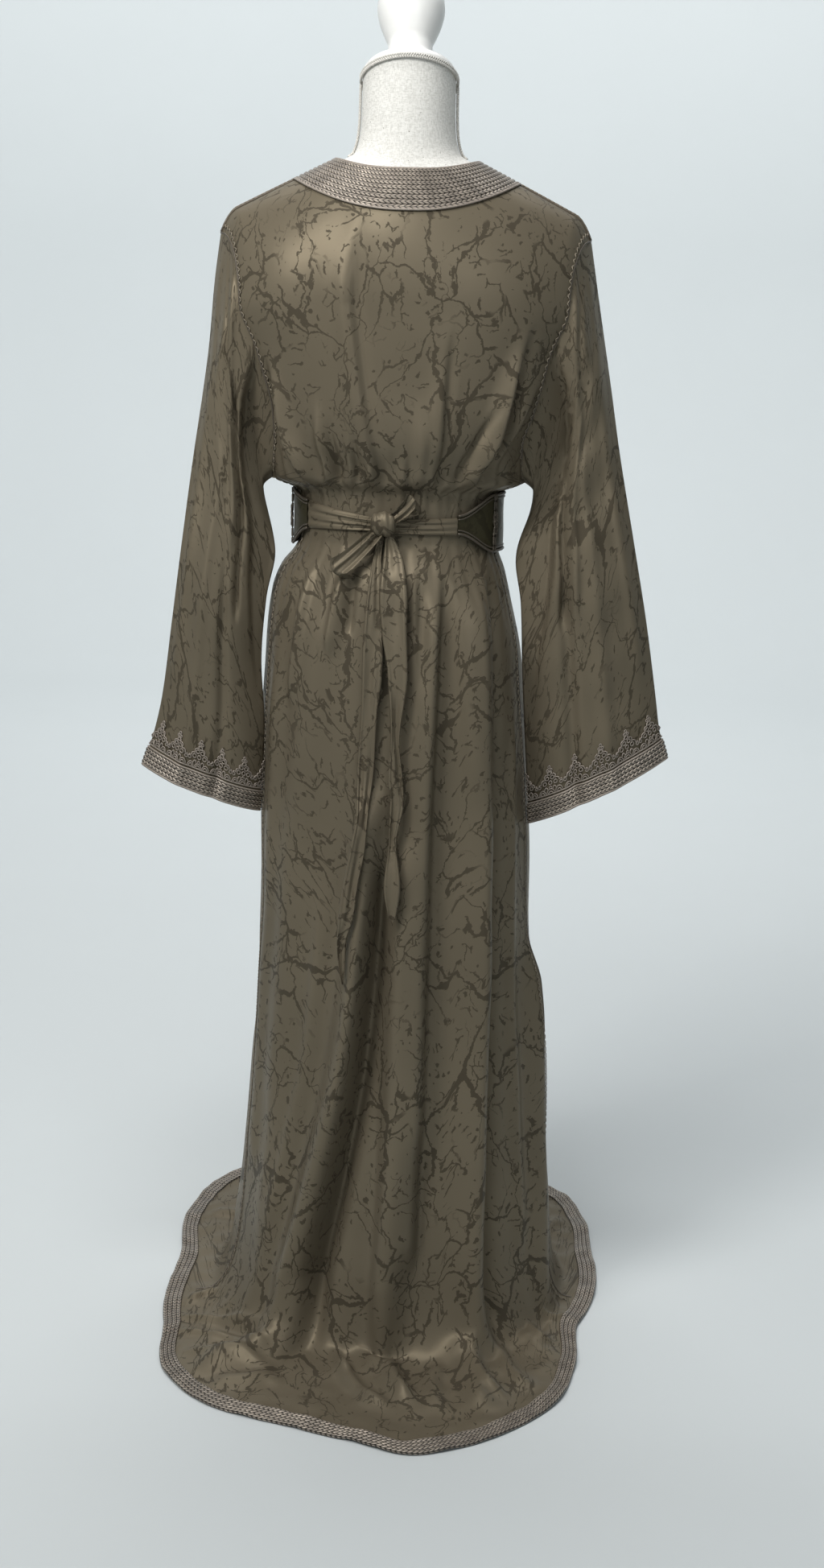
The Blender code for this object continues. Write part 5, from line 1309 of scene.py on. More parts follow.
def add_neck_band(materials):
    base = round_neck(np.linspace(-0.02, 1, 46))
    normals = grid_normals(base, False)
    if np.sum(normals[..., 2]) < 0:
        normals = -normals
    piece = band_mesh("braid_neck", base, normals, 9, 0.0054, materials["braid"])
    ready(piece, "neck_band", slot="braid")
    edges = []
    for share in (-0.02, 0.995):
        line = round_neck([share])[0]
        lift = normals[0 if share < 0.5 else -1]
        edges.append(tube_arrays(line + (LIFT + 0.0012) * lift, 0.0014, 6))
    ready(cords_mesh("cord_neck", edges, materials["cord"]), slot="braid")


def add_hem_band(materials):
    """Braid of the train, on the floor all round."""
    polar = np.radians(np.linspace(-180, 180, 720, endpoint=False))
    hem = look_up(FLOOR, FLOOR_COLUMNS, "hem", np.degrees(polar))
    rows = []
    for t in np.linspace(0, 1, 33):
        r = hem - HEM_BAND_WIDTH + (HEM_BAND_WIDTH + EDGE_OVERHANG) * t
        x = r * np.sin(polar)
        y = -r * np.cos(polar)
        edge = 0.25 + 0.75 * smooth_step((hem - HEM_BAND_WIDTH * 0.5 - r) / 0.03)
        rise = swirl_height(x, y) * edge + 0.0012 + ripple(x, y, 5, 0.05, 0.0012)
        rows.append(np.stack([x, y, np.maximum(FLOOR_TOP + rise, FLOOR_TOP)], axis=-1))
    base = np.array(rows)
    normals = grid_normals(base, True)
    normals = np.where(normals[..., 2:] < 0, -normals, normals)
    piece = band_mesh("braid_hem", base, normals, 4, 0.0060, materials["braid"], wrap=True)
    ready(piece, "hem_band", slot="braid")


def cuff_run(grid):
    """Arc length round a sleeve's hem, with the closing step."""
    closed = np.vstack([grid[-1], grid[-1][:1]])
    return np.concatenate([[0.0], np.cumsum(np.linalg.norm(np.diff(closed, axis=0), axis=1))])


def add_cuff(side, grid, materials):
    """Braid band, cord edge and scalloped trim of one cuff."""
    normals, _ = outward_normals(grid, True)
    run = cuff_run(grid)
    whole = run[-1]
    count = 260
    last = len(grid) - 1
    step = np.linalg.norm(grid[-1] - grid[-8], axis=1) / 7

    def place(along, height, lift):
        column = np.interp(np.mod(along, whole), run, np.arange(len(run)))
        pitch = np.interp(column, np.arange(len(run)), np.append(step, step[0]))
        r = last - height / pitch
        point = on_grid(grid, r, column, True)
        normal = unit(on_grid(normals, r, column, True))
        past = np.minimum(height, 0.0)[..., None] if hasattr(height, "shape") else min(height, 0.0)
        down = unit(on_grid(grid, r * 0 + last, column, True)
                    - on_grid(grid, r * 0 + last - 3, column, True))
        return point + lift * normal - past * down, normal

    base, faces = [], []
    for height in np.linspace(CUFF_BAND_WIDTH, 0.0, 31):
        along = np.arange(count) * whole / count
        point, normal = place(along, np.full(count, height), 0.0)
        base.append(point)
        faces.append(normal)
    name = "left" if side < 0 else "right"
    piece = band_mesh("braid_cuff_" + name, np.array(base), np.array(faces), 4, 0.0056,
                      materials["braid"], wrap=True)
    ready(piece, "cuff_band_" + name, slot="braid")
    parts = []
    along = np.arange(count) * whole / count
    for height, radius in ((-0.0012, 0.0016), (CUFF_BAND_WIDTH + 0.0012, 0.0013),
                           (CUFF_BAND_WIDTH + 0.0052, 0.0009)):
        line, _ = place(along, np.full(count, height), 0.0012)
        parts.append(tube_arrays(line, radius, 6, True))
    ready(cords_mesh("cord_cuff_" + name, parts, materials["cord"]), slot="braid")
    cell = whole / CREST_REPEATS
    low = CUFF_BAND_WIDTH + 0.005
    parts = []
    rng = np.random.default_rng(40 + side)

    def cord(centre, points, radius, closed=False):
        points = np.array(points, float)
        points = points + rng.normal(0, 0.00018, (1, 2))
        line, normal = place(centre + points[:, 0], low + points[:, 1], 0.0014)
        parts.append(tube_arrays(line, radius, 5, closed, up=normal))

    ring = np.linspace(0, 2 * math.pi, 10, endpoint=False)
    arc = np.linspace(0, math.pi, 11)
    for k in range(CREST_REPEATS):
        centre = (k + 0.5) * cell
        tall = CREST_HEIGHT - 0.004
        for x, y, r in CREST_RINGS:
            circle = [(x * cell + r * math.cos(t), y * tall + r * math.sin(t)) for t in ring]
            cord(centre, circle, 0.00068, True)
        for x, wide, high, base_y in CREST_ARCS:
            bow = [(x * cell + wide * cell * math.cos(t), base_y * tall + high * tall * math.sin(t))
                   for t in arc]
            cord(centre, bow, 0.00072)
        outline = [(x * cell, y * tall) for x, y in CREST_OUTLINE]
        cord(centre, outline, 0.00080)
    ready(cords_mesh("crest_cuff_" + name, parts, materials["cord"]), "cuff_crest_" + name,
          slot="braid")


# Motif of the scalloped trim in shares of a repeat's width and height
CREST_RINGS = tuple(
    [((k - 1.0) * 0.22, 0.40, 0.0024) for k in range(3)]
    + [((k - 0.5) * 0.20, 0.57, 0.0023) for k in range(2)]
    + [(0.0, 0.73, 0.0022), (-0.07, 0.85, 0.0015), (0.07, 0.85, 0.0015), (0.0, 0.95, 0.0017),
       (-0.43, 0.32, 0.0018), (0.43, 0.32, 0.0018)])
CREST_ARCS = (
    (0.0, 0.15, 0.16, 0.02), (0.0, 0.09, 0.09, 0.02), (-0.33, 0.13, 0.17, 0.02),
    (0.33, 0.13, 0.17, 0.02), (-0.33, 0.07, 0.10, 0.02), (0.33, 0.07, 0.10, 0.02),
    (-0.17, 0.06, 0.10, 0.16), (0.17, 0.06, 0.10, 0.16), (0.0, 0.05, 0.08, 0.20),
)
CREST_OUTLINE = (
    (-0.50, 0.30), (-0.44, 0.42), (-0.36, 0.40), (-0.34, 0.50), (-0.26, 0.53), (-0.20, 0.51),
    (-0.22, 0.64), (-0.15, 0.69), (-0.09, 0.67), (-0.08, 0.76), (0.0, 0.80), (0.08, 0.76),
    (0.09, 0.67), (0.15, 0.69), (0.22, 0.64), (0.20, 0.51), (0.26, 0.53), (0.34, 0.50),
    (0.36, 0.40), (0.44, 0.42), (0.50, 0.30),
)


def stitch_line(line, normals, pitch=0.0042, spread=0.0016, radius=0.00062):
    """Zigzag of small stitches along a seam."""
    steps = np.linalg.norm(np.diff(line, axis=0), axis=1)
    run = np.concatenate([[0.0], np.cumsum(steps)])
    count = int(run[-1] / pitch)
    at = (np.arange(count + 1)) * pitch
    spot = np.stack([np.interp(at, run, line[:, k]) for k in range(3)], axis=-1)
    face = unit(np.stack([np.interp(at, run, normals[:, k]) for k in range(3)], axis=-1))
    side = unit(np.cross(face, np.gradient(spot, axis=0)))
    parts = []
    for k in range(count):
        sign = 1 if k % 2 else -1
        a = spot[k] + sign * spread * side[k] + 0.0008 * face[k]
        b = spot[k + 1] - sign * spread * side[k] + 0.0008 * face[k]
        middle = 0.5 * (a + b) + 0.0004 * face[k]
        parts.append(tube_arrays([a, middle, b], radius, 4, up=face[k]))
    return parts


def add_seams(grids, materials):
    """Stitched seams: armholes, sides and the corded shoulders, with thin dark cords along the
    armhole and side seam lines as painted seam shadow.
    """
    first_arm = BAND_FINE + SHOULDER_FINE
    underarm = first_arm + ARM_FINE + round((BACK_YOKE_Z - UNDERARM_Z) / STAND_STEP)
    foot = len(grids["back"]) - FLOOR_FINE + 8
    back_normals, _ = outward_normals(grids["back"], False)
    front_faces = {name: outward_normals(grids[name], False)[0]
                   for name in ("front_left", "front_right")}
    parts, cords, seam_shadow_parts = [], [], []
    for column, front, front_column, inward in ((0, "front_left", FRONT_FINE, 1),
                                                (BACK_FINE, "front_right", 0, -1)):
        near = column + 3 * inward
        # thin dark cords right on the seam lines: painted shadow of the seam groove
        seam_shadow_parts.append(tube_arrays(grids["back"][first_arm:foot, column], 0.0011, 6))
        seam_shadow_parts.append(tube_arrays(grids[front][first_arm:underarm, front_column], 0.0011, 6))
        parts += stitch_line(grids["back"][first_arm:underarm, near],
                             back_normals[first_arm:underarm, near])
        parts += stitch_line(grids["back"][underarm:foot, near],
                             back_normals[underarm:foot, near])
        front_near = front_column + (-1 if front_column else 1)
        parts += stitch_line(grids[front][first_arm:underarm, front_near],
                             front_faces[front][first_arm:underarm, front_near])
        shoulder = grids["back"][BAND_FINE:first_arm + 1, column]
        face = back_normals[BAND_FINE:first_arm + 1, column] * 0 + np.array((0.0, 0.0, 1.0))
        cords.append(tube_arrays(shoulder + 0.0010 * face, 0.0016, 6))
        parts += stitch_line(shoulder + 0.0016 * face, face, 0.0028, 0.0014)
    ready(cords_mesh("stitches", parts, materials["stitch"]), slot="braid")
    ready(cords_mesh("shoulder_cord", cords, materials["seam_cord"]), slot="satin")
    ready(cords_mesh("seam_shadow_cords", seam_shadow_parts, materials["piping_and_seam_shadow_cord"]), slot="satin")


# Belt and bow

def waist_point(angle, z, lift):
    x, y = section(BELT_Z, angle)
    return np.stack(np.broadcast_arrays(x + lift * np.sin(angle), y - lift * np.cos(angle), z),
                    axis=-1)


def belt_shape(degrees):
    """Half height, middle height and distance from the cloth along the belt."""
    (right, right_taper, right_half), (left, left_taper, left_half) = BELT_ENDS
    grown = smooth_step((degrees - right) / right_taper)
    other = smooth_step((left - degrees) / left_taper)
    half = np.minimum(right_half + (BELT_HALF - right_half) * grown,
                      left_half + (BELT_HALF - left_half) * other)
    lift = BELT_LIFT + BELT_STAND * np.minimum(grown, other)
    middle = BELT_Z + (TIES["belt_tie_left"][2] - BELT_Z) * (1 - other)
    return half, middle, lift


def add_fine_belt(materials):
    right, left = BELT_ENDS[0][0], BELT_ENDS[1][0]
    degrees = np.linspace(right, left, 260)
    half, middle, lift = belt_shape(degrees)
    angle = np.radians(degrees)
    rows = []
    shares = np.concatenate([[-0.97], np.linspace(-1, 1, 15), [0.97]])
    for k, share in enumerate(shares):
        depth = 0.0 if k in (0, len(shares) - 1) else BELT_THICK
        soft = 0.0007 * np.sin(degrees * 0.11 + 2.0 * share) * (1 - share ** 2)
        rows.append(waist_point(angle, middle + share * half, lift + depth + soft))
    grid = np.array(rows)
    uv = cloth_uv(grid, 0, False, (9.1, 2.2))
    outward = np.sum(grid_normals(grid, False)[8] * (grid[8] * (1, 1, 0))) > 0
    piece = grid_mesh("cloth_belt", grid, uv, materials["belt"], False, outward)
    ready(piece, "belt", slot="satin")
    parts = []
    for share, inset in ((-1, 0.0), (1, 0.0), (-1, 0.0042), (1, 0.0042)):
        z = middle + share * (half - inset)
        radius = 0.0016 if inset == 0 else 0.0009
        parts.append(tube_arrays(waist_point(angle, z, lift + BELT_THICK + 0.0004), radius, 6))
    for start, sign in ((BELT_ENDS[0][0] + 27.5, 1), (BELT_ENDS[1][0] - 25.5, -1)):
        for shift in (0.0, 2.2):
            level = np.linspace(-1, 1, 25)
            degrees = start + sign * shift + 0 * level
            half, middle, lift = belt_shape(degrees)
            wobble = 0.9 * np.sin(level * 9) * np.exp(-(level / 0.35) ** 2) * (1 if shift else -1)
            parts.append(tube_arrays(
                waist_point(np.radians(degrees + wobble), middle + level * half,
                            lift + BELT_THICK + 0.0014), 0.0013, 6))
        for centre in (-0.22, 0.0, 0.22):
            turn = np.linspace(0, 2 * math.pi, 14, endpoint=False)
            degrees = start + sign * 1.1 + 2.0 * np.cos(turn)
            half, middle, lift = belt_shape(degrees)
            z = middle + (centre + 0.14 * np.sin(turn)) * half
            parts.append(tube_arrays(waist_point(np.radians(degrees), z,
                                                 lift + BELT_THICK + 0.0026), 0.0011, 6, True))
    ready(cords_mesh("belt_piping", parts, materials["piping_and_seam_shadow_cord"]), slot="satin")


def add_fine_tie(name, materials):
    """Tie strip with the long creases of its gathers."""
    start, end, z_start, z_end, half_start, half_end = TIES[name]
    t = np.linspace(0, 1, 90)
    angle = np.radians(start + (end - start) * t)
    rows = []
    for share in np.linspace(-1, 1, 25):
        half = half_start + (half_end - half_start) * t
        z = z_start + (z_end - z_start) * t + share * half
        pleat = 0.0014 * np.cos(share * 9.0 + 2.2 * t) * (0.25 + 0.75 * t)
        pleat = pleat + 0.0009 * np.sin(share * 17.0 - 3.0 * t) * t
        edge = math.sqrt(max(1 - share ** 6, 0.0))
        rows.append(waist_point(angle, z, TIE_LIFT + (TIE_THICK + 0.0006 + pleat) * edge))
    grid = np.array(rows)
    uv = cloth_uv(grid, 0, False, (11.0 + half_end * 90, 3.0))
    outward = np.sum(grid_normals(grid, False)[12] * (grid[12] * (1, 1, 0))) > 0
    return ready(grid_mesh("cloth_" + name, grid, uv, materials["satin"], False, outward), name,
                 slot="satin")


def back_tree(grid):
    rows, columns = grid.shape[:2]
    thin = grid[::2, ::2]
    rows, columns = thin.shape[:2]
    first = [r * columns + c for r in range(rows - 1) for c in range(columns - 1)]
    faces = [(k, k + columns, k + columns + 1, k + 1) for k in first]
    return BVHTree.FromPolygons([Vector(p) for p in thin.reshape(-1, 3)], faces)


def back_y(tree, x, z):
    hit = tree.ray_cast(Vector((x, -1.0, z)), Vector((0.0, 1.0, 0.0)))
    return hit[0].y


def add_fine_knot(tree, materials):
    """Knot: a wrapped band of cloth with the creases that run round it."""
    x0, z0 = KNOT
    y0 = back_y(tree, x0, z0) - KNOT_STAND
    turn = np.linspace(0, 2 * math.pi, 72, endpoint=False)
    rows = []
    for level in np.linspace(-1, 1, 33):
        swell = (1 - abs(level) ** 3.2) ** 0.45
        crease = 1 + 0.07 * np.sin(level * 7 + 1.4 * np.sin(turn))
        crease = crease + 0.03 * np.sin(level * 15 + 2.0 * np.cos(turn))
        tilt = 0.12 * level
        x = x0 + (KNOT_SIZE[0] * 0.98 * level * 1.0) + tilt * 0.002
        y = y0 + KNOT_SIZE[1] * 1.05 * swell * crease * np.cos(turn)
        z = z0 + KNOT_SIZE[2] * 1.02 * swell * crease * np.sin(turn)
        rows.append(np.stack(np.broadcast_arrays(x, y, z), axis=-1))
    grid = np.array(rows)
    uv = cloth_uv(grid, 0, True, (13.0, 4.0))
    _, outward = outward_normals(grid, True)
    return ready(grid_mesh("cloth_bow_knot", grid, uv, materials["satin"], True, outward),
                 "bow_knot", slot="satin")


def ribbon(name, centre, across, lift, seed, materials, thick=0.0011):
    """Crumpled double ribbon: a flattened tube round a middle line."""
    rng = np.random.default_rng(seed)
    run = np.concatenate([[0.0], np.cumsum(np.linalg.norm(np.diff(centre, axis=0), axis=1))])
    shares = np.linspace(-1, 1, 23)
    turns = np.concatenate([np.arcsin(shares), math.pi - np.arcsin(shares[-2:0:-1])])
    side = across
    wave = [(rng.uniform(1.0, 2.6), rng.uniform(-60, 60), rng.uniform(0, 6.3),
             rng.uniform(0.5, 1.0)) for _ in range(6)]
    rows = []
    for t in turns:
        share = math.sin(t)
        face = 1 if math.cos(t) >= 0 else -1
        edge = math.sqrt(max(1 - share ** 4, 0.0))
        crumple = sum(a * np.sin(k * share * 2.4 + m * run + p) for k, m, p, a in wave) / 3
        roll = 0.0019 * math.exp(-((abs(share) - 0.80) / 0.14) ** 2) * (face > 0)
        depth = face * thick * edge + roll + 0.0018 * crumple * (1 - share ** 4)
        rows.append(centre + share * side + depth[:, None] * lift)
    grid = np.transpose(np.array(rows), (1, 0, 2))
    uv = cloth_uv(grid, 0, True, (15.0 + seed, 5.0 + seed))
    _, outward = outward_normals(grid, True)
    return ready(grid_mesh("cloth_" + name, grid, uv, materials["satin"], True, outward), name,
                 slot="satin")


def add_fine_tail(name, tree, materials):
    table = np.array(TAILS[name])
    z = np.linspace(table[0, 0], table[-1, 0], 240)
    left = curve(-table[:, 0], table[:, 1], -z)
    right = curve(-table[:, 0], table[:, 2], -z)
    middle = 0.5 * (left + right)
    half = 0.5 * (right - left)
    lift = TAIL_LIFT[name]
    y = []
    for k in range(len(z)):
        if z[k] > KNOT_FOOT_Z:
            y.append(back_y(tree, *KNOT) - KNOT_STAND)
            continue
        places = [back_y(tree, x, z[k]) for x in np.linspace(left[k], right[k], 4)]
        y.append(min(places) - lift)
    y = np.array(y)
    smooth = np.convolve(np.pad(y, 6, mode="edge"), np.ones(13) / 13, mode="valid")
    y = np.minimum(smooth, y + 0.001) - 0.003 * smooth_step((KNOT_FOOT_Z - z) / 0.03)
    centre = np.stack([middle, y, z], axis=-1)
    run = (table[0, 0] - z)
    turn = 0.45 * np.sin(run * 21 + (0.6 if "left" in name else 2.4)) * smooth_step(run / 0.1)
    across = np.stack([half * np.cos(turn), half * np.sin(turn) * 0.5, 0 * z], axis=-1)
    tip = smooth_step((z - z[-1]) / 0.012)[:, None]
    across = across * (0.25 + 0.75 * tip)
    facing = np.stack([np.sin(turn) * 0.4, -np.cos(turn), 0 * z], axis=-1)
    return ribbon(name, centre, across, unit(facing), 21 if "left" in name else 22, materials)


def add_fine_loop(name, tree, materials):
    """Loop of the bow with creases that fan out from the knot."""
    dx, dz, length, half, start, depth, gap = LOOPS[name]
    x0, z0 = KNOT
    y0 = back_y(tree, x0, z0)
    upper = name.endswith("upper")
    rows = []
    for t in np.linspace(0, 1, 90):
        swell = math.sin(math.pi * t)
        along = start - 0.004 + (length + 0.004) * (1 - abs(2 * t - 1) ** 2.5)
        wide = half * (0.40 + 0.32 * swell ** 0.7)
        layer = math.tanh((2 * t - 1) / 0.3) * (0.5 + 0.5 * swell)
        bend = (0.005 if upper else -0.006) * (0.6 * swell ** 2 + 1.5 * layer * swell)
        row = []
        for share in np.linspace(-1, 1, 31):
            tip = along - 0.16 * length * swell ** 3 * abs(share) ** 2.4
            px = x0 + dx * tip - dz * (wide * share + bend)
            pz = z0 + dz * tip + dx * (wide * share + bend)
            free = y0 - depth
            resting = back_y(tree, x0 + dx * along, z0 + dz * along) - gap - 0.0042
            fan = 0.0020 * math.cos(share * 5.5 + 1.2 * layer) * (1 - 0.55 * swell)
            fan += 0.0006 * math.sin(share * 11 + 5 * t)
            open_end = 1 + 0.5 * swell
            curl = 0.002 * share ** 2 * layer
            row.append((px, min(free, resting) - gap * open_end * layer - fan - curl, pz))
        rows.append(row)
    grid = np.array(rows)
    uv = cloth_uv(grid, 15, False, (31.0 if upper else 33.0, 6.0))
    return ready(grid_mesh("cloth_" + name, grid, uv, materials["satin"], False, True), name,
                 slot="satin")


# Dress form

def lathe(name, profile, material, location=(0, 0, 0), tilt=0.0, steps=72, smooth_steps=6):
    """Turned piece from a profile, rounded between its points."""
    profile = np.array(profile, float)
    run = np.concatenate([[0.0], np.cumsum(np.linalg.norm(np.diff(profile, axis=0), axis=1))])
    fine = np.unique(np.concatenate([np.linspace(a, b, smooth_steps) for a, b in
                                     zip(run[:-1], run[1:])]))
    radius = np.maximum(curve(run, profile[:, 0], fine), 0.0)
    height = curve(run, profile[:, 1], fine)
    turn = np.arange(steps) * 2 * math.pi / steps
    grid = np.stack([radius[:, None] * np.cos(turn), radius[:, None] * np.sin(turn),
                     np.broadcast_to(height[:, None], (len(fine), steps))], axis=-1)
    rotate = np.array(Matrix.Rotation(tilt, 3, "X"))
    grid = grid @ rotate.T + np.array(location)
    uv = cloth_uv(grid, 0, True, (0.0, 0.0))
    return grid_mesh(name, grid, uv, material, True, True)


def plait(path, normals, width, radius, turns, closed=False):
    """Three strands woven along a path that lies on a surface."""
    if closed:
        tangent = unit(np.roll(path, -1, axis=0) - np.roll(path, 1, axis=0))
    else:
        tangent = unit(np.gradient(path, axis=0))
    side = unit(np.cross(tangent, normals))
    parts = []
    phase = np.linspace(0, 2 * math.pi * turns, len(path), endpoint=not closed)
    for k in range(3):
        shift = phase + 2 * math.pi * k / 3
        line = path + (width * np.sin(shift))[:, None] * side
        line = line + (0.8 * radius * np.sin(2 * shift))[:, None] * normals
        parts.append(tube_arrays(line, radius, 6, closed, up=normals))
    return parts


def add_fine_form(materials):
    segments = 96
    turns = [2 * math.pi * k / segments for k in range(segments)]
    levels = np.concatenate([np.linspace(0.8, 1.25, 14), np.linspace(1.25, 1.40, 16)[1:],
                             np.linspace(1.40, 1.48, 18)[1:]])
    sampled = np.array([[form_radius(z, t) for t in turns[::4]] for z in levels])
    sampled = np.hstack([sampled, sampled[:, :1]])
    places = np.array(turns[::4] + [2 * math.pi])
    radii = np.array([curve(places, row, np.array(turns)) for row in sampled])
    sines, cosines = np.sin(turns), np.cos(turns)
    rings = [np.stack(np.broadcast_arrays(r * sines, -r * cosines, z), axis=-1)
             for r, z in zip(radii, levels)]
    top = NECK_TOP_Z + NECK_TILT * NECK_RADIUS * cosines
    for t_up in np.linspace(0, 1, 8)[1:]:
        r = radii[-1] * (1 - t_up) + NECK_RADIUS * t_up
        z = levels[-1] + (top - levels[-1]) * t_up
        rings.append(np.stack([r * sines, -r * cosines, z], axis=-1))
    closed = [rings[0] * (k, k, 1.0) for k in (0.0, 0.5)]
    grid = np.array(closed + rings)
    uv = cloth_uv(grid, 0, True, (0.0, 0.0))
    torso = grid_mesh("form_linen", grid, uv, materials["linen"], True, False)
    ready(torso, "form_torso", slot="linen")
    tilt = -math.atan(NECK_TILT)
    axis = np.array([0.0, math.sin(-tilt), math.cos(tilt)])
    top = np.array([0.0, 0.0, NECK_TOP_Z])
    ready(lathe("neck_cap_fine", CAP_PROFILE, materials["paint"], top + SEAM * axis, tilt),
          "form_neck_cap", slot="white_paint")
    foot = top + (CAP_THICK + 2 * SEAM) * axis
    ready(lathe("finial_fine", FINIAL_PROFILE, materials["paint"], foot, tilt),
          "form_finial", slot="white_paint")
    turn = np.linspace(0, 2 * math.pi, 480, endpoint=False)
    reach = NECK_RADIUS + GIMP_STAND
    y = -reach * np.cos(turn)
    path = np.stack([reach * np.sin(turn), y, NECK_TOP_Z - GIMP_DROP - NECK_TILT * y], axis=-1)
    faces = np.stack([np.sin(turn), -np.cos(turn), 0 * turn], axis=-1)
    parts = plait(path, faces, 0.0022, GIMP_STRAND, 42, True)
    ready(cords_mesh("gimp_neck", parts, materials["gimp"]), "form_neck_braid", slot="gimp")
    for side, name in ((-1, "left"), (1, "right")):
        z = np.linspace(*GIMP_SEAM_Z, 160)
        sparse = np.linspace(*GIMP_SEAM_Z[::-1], 20)
        reach = [form_radius(level, math.pi / 2) for level in sparse]
        r = curve(sparse, np.array(reach), z) + GIMP_STAND
        path = np.stack([side * r, 0 * z, z], axis=-1)
        faces = np.stack([side + 0 * z, 0 * z, 0 * z], axis=-1)
        parts = plait(path, faces, 0.0020, GIMP_STRAND, 10)
        ready(cords_mesh("gimp_seam_" + name, parts, materials["gimp"]),
              "form_seam_braid_" + name, slot="gimp")
    for name in ("form_base", "form_pole"):
        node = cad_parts[name]
        node.data.materials.clear()
        node.data.materials.append(materials["steel"])


# Light, floor and camera
FOCAL_PIXELS = 2300.0       # focal length in pixels of the photograph
PHOTO_HEIGHT = 1948.0
SENSOR = 36.0
CAMERA_PLACE = (0.0225, -2.25, 1.22)
CAMERA_PITCH = 13.7         # degrees below the horizon
CAMERA_ROLL = 1.4
FLOOR_FLAT = 4.2            # radius of the flat floor and of its bend up into the wall
FLOOR_BEND = 1.6
WALL_TOP = 5.0
FLOOR_COLOUR = (0.66, 0.70, 0.71)
SKY_COLOUR = (0.88, 0.93, 0.96, 1.0)
SKY_POWER = 0.12
WHITE = (1.0, 1.0, 1.0)
LIGHTS = (
    # name, place, aim, size, power, colour
    ("key", (-1.9, -1.9, 2.7), (0.0, 0.0, 1.25), (0.8, 0.7), 34, (1.0, 0.98, 0.95)),
    ("fill", (1.2, -2.8, 2.3), (0.0, 0.0, 1.1), (1.0, 1.0), 11, (0.97, 0.98, 1.0)),
    ("near", (-0.55, -1.15, 2.45), (0.0, 0.0, 1.25), (0.9, 0.5), 17, (1.0, 0.99, 0.97)),
    ("top", (-0.1, -0.6, 3.3), (0.0, -0.05, 1.0), (0.9, 0.5), 20, WHITE),
    ("wall", (0.0, 3.0, 4.0), (0.0, 5.8, 1.2), (5.0, 0.8), 108, WHITE),
    ("floor", (0.0, 1.6, 3.6), (0.0, 2.4, 0.0), (3.0, 0.8), 46, WHITE),
)


def add_area(name, place, aim, size, power, colour):
    light = bpy.data.lights.new(name, "AREA")
    light.shape = "RECTANGLE"
    light.size, light.size_y = size
    light.energy = power
    light.color = colour
    obj = link(bpy.data.objects.new(name, light))
    obj.location = place
    obj.rotation_euler = (Vector(aim) - Vector(place)).to_track_quat("-Z", "Y").to_euler()
    return obj


def add_stage():
    """Pale round floor that curves up into a wall all round, so that no view is blocked."""
    profile = [(r, 0.0) for r in np.linspace(0.05, FLOOR_FLAT, 12)]
    profile += [(FLOOR_FLAT + FLOOR_BEND * math.sin(t), FLOOR_BEND * (1 - math.cos(t)))
                for t in np.linspace(0, math.pi / 2, 20)[1:]]
    profile += [(FLOOR_FLAT + FLOOR_BEND, z) for z in np.linspace(FLOOR_BEND, WALL_TOP, 6)[1:]]
    grid = np.array([[(r * math.sin(a), r * math.cos(a), z)
                      for a in np.linspace(0, 2 * math.pi, 97)] for r, z in profile])
    uv = cloth_uv(grid, 0, False, (0.0, 0.0))
    paint = plain_material("backdrop_paint", FLOOR_COLOUR, 0.75)
    backdrop = grid_mesh("backdrop", grid, uv, paint)


def add_lights():
    world = bpy.data.worlds.new("studio")
    bpy.context.scene.world = world
    world.use_nodes = True
    background = world.node_tree.nodes["Background"]
    background.inputs[0].default_value = SKY_COLOUR
    background.inputs[1].default_value = SKY_POWER
    for name, place, aim, size, power, colour in LIGHTS:
        add_area(name, place, aim, size, power, colour)


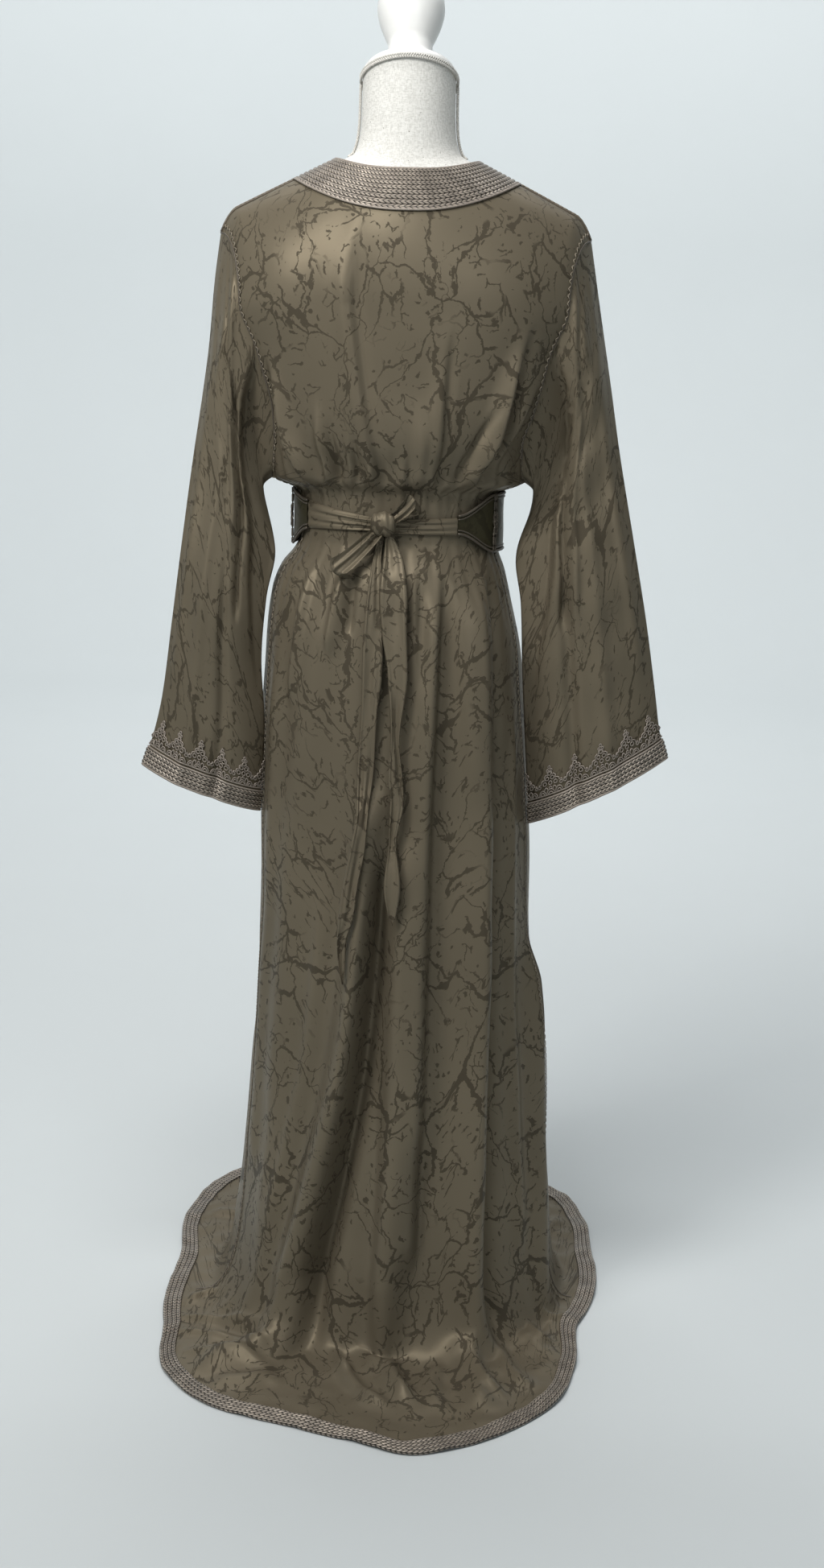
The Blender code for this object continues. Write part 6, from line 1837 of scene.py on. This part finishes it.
def add_camera():
    bpy.context.scene.view_settings.view_transform = "Standard"
    camera = bpy.data.cameras.new("photo")
    camera.sensor_fit = "VERTICAL"
    camera.sensor_height = SENSOR
    camera.lens = FOCAL_PIXELS / PHOTO_HEIGHT * SENSOR
    obj = link(bpy.data.objects.new("photo", camera))
    obj.matrix_world = (Matrix.Translation(CAMERA_PLACE)
                        @ Matrix.Rotation(math.radians(90 - CAMERA_PITCH), 4, "X")
                        @ Matrix.Rotation(math.radians(CAMERA_ROLL), 4, "Z"))
    bpy.context.scene.camera = obj


def main():
    materials = {
        "satin": satin("satin_fine", SATIN_GROUND, SATIN_FIGURE),
        "belt": satin("belt_satin", (0.050, 0.045, 0.026), (0.030, 0.027, 0.016), 0.34),
        "braid": braid("braid_fine", BRAID_THREAD, BRAID_GAP_SHADE),
        "cord": cord_material("cord_fine", (0.360, 0.310, 0.262), 0.38),
        # the belt's piping colour, also used for the thin dark cords along the seams as painted
        # seam shadow
        "piping_and_seam_shadow_cord": cord_material("piping_and_seam_shadow_fine", (0.120, 0.100, 0.076)),
        "seam_cord": cord_material("seam_cord_fine", (0.150, 0.125, 0.095)),
        "stitch": cord_material("stitch_fine", (0.270, 0.230, 0.170)),
        "linen": linen_material(),
        "gimp": cord_material("gimp_fine", (0.74, 0.72, 0.67), 0.7, 0.0),
        "paint": paint_material(),
        "steel": steel_material(),
    }
    grids = fine_grids()
    cloth = add_body(grids, materials)
    add_neck_band(materials)
    add_hem_band(materials)
    for side, name in ((-1, "sleeve_left"), (1, "sleeve_right")):
        add_cuff(side, grids[name], materials)
    add_seams(grids, materials)
    add_fine_belt(materials)
    cloth["belt"] = bpy.data.objects["cloth_belt"]
    for name in TIES:
        cloth[name] = add_fine_tie(name, materials)
    tree = back_tree(grids["back"])
    cloth["bow_knot"] = add_fine_knot(tree, materials)
    for name in TAILS:
        cloth[name] = add_fine_tail(name, tree, materials)
    for name in LOOPS:
        cloth[name] = add_fine_loop(name, tree, materials)
    add_fine_form(materials)
    add_stage()
    add_lights()
    add_camera()


main()
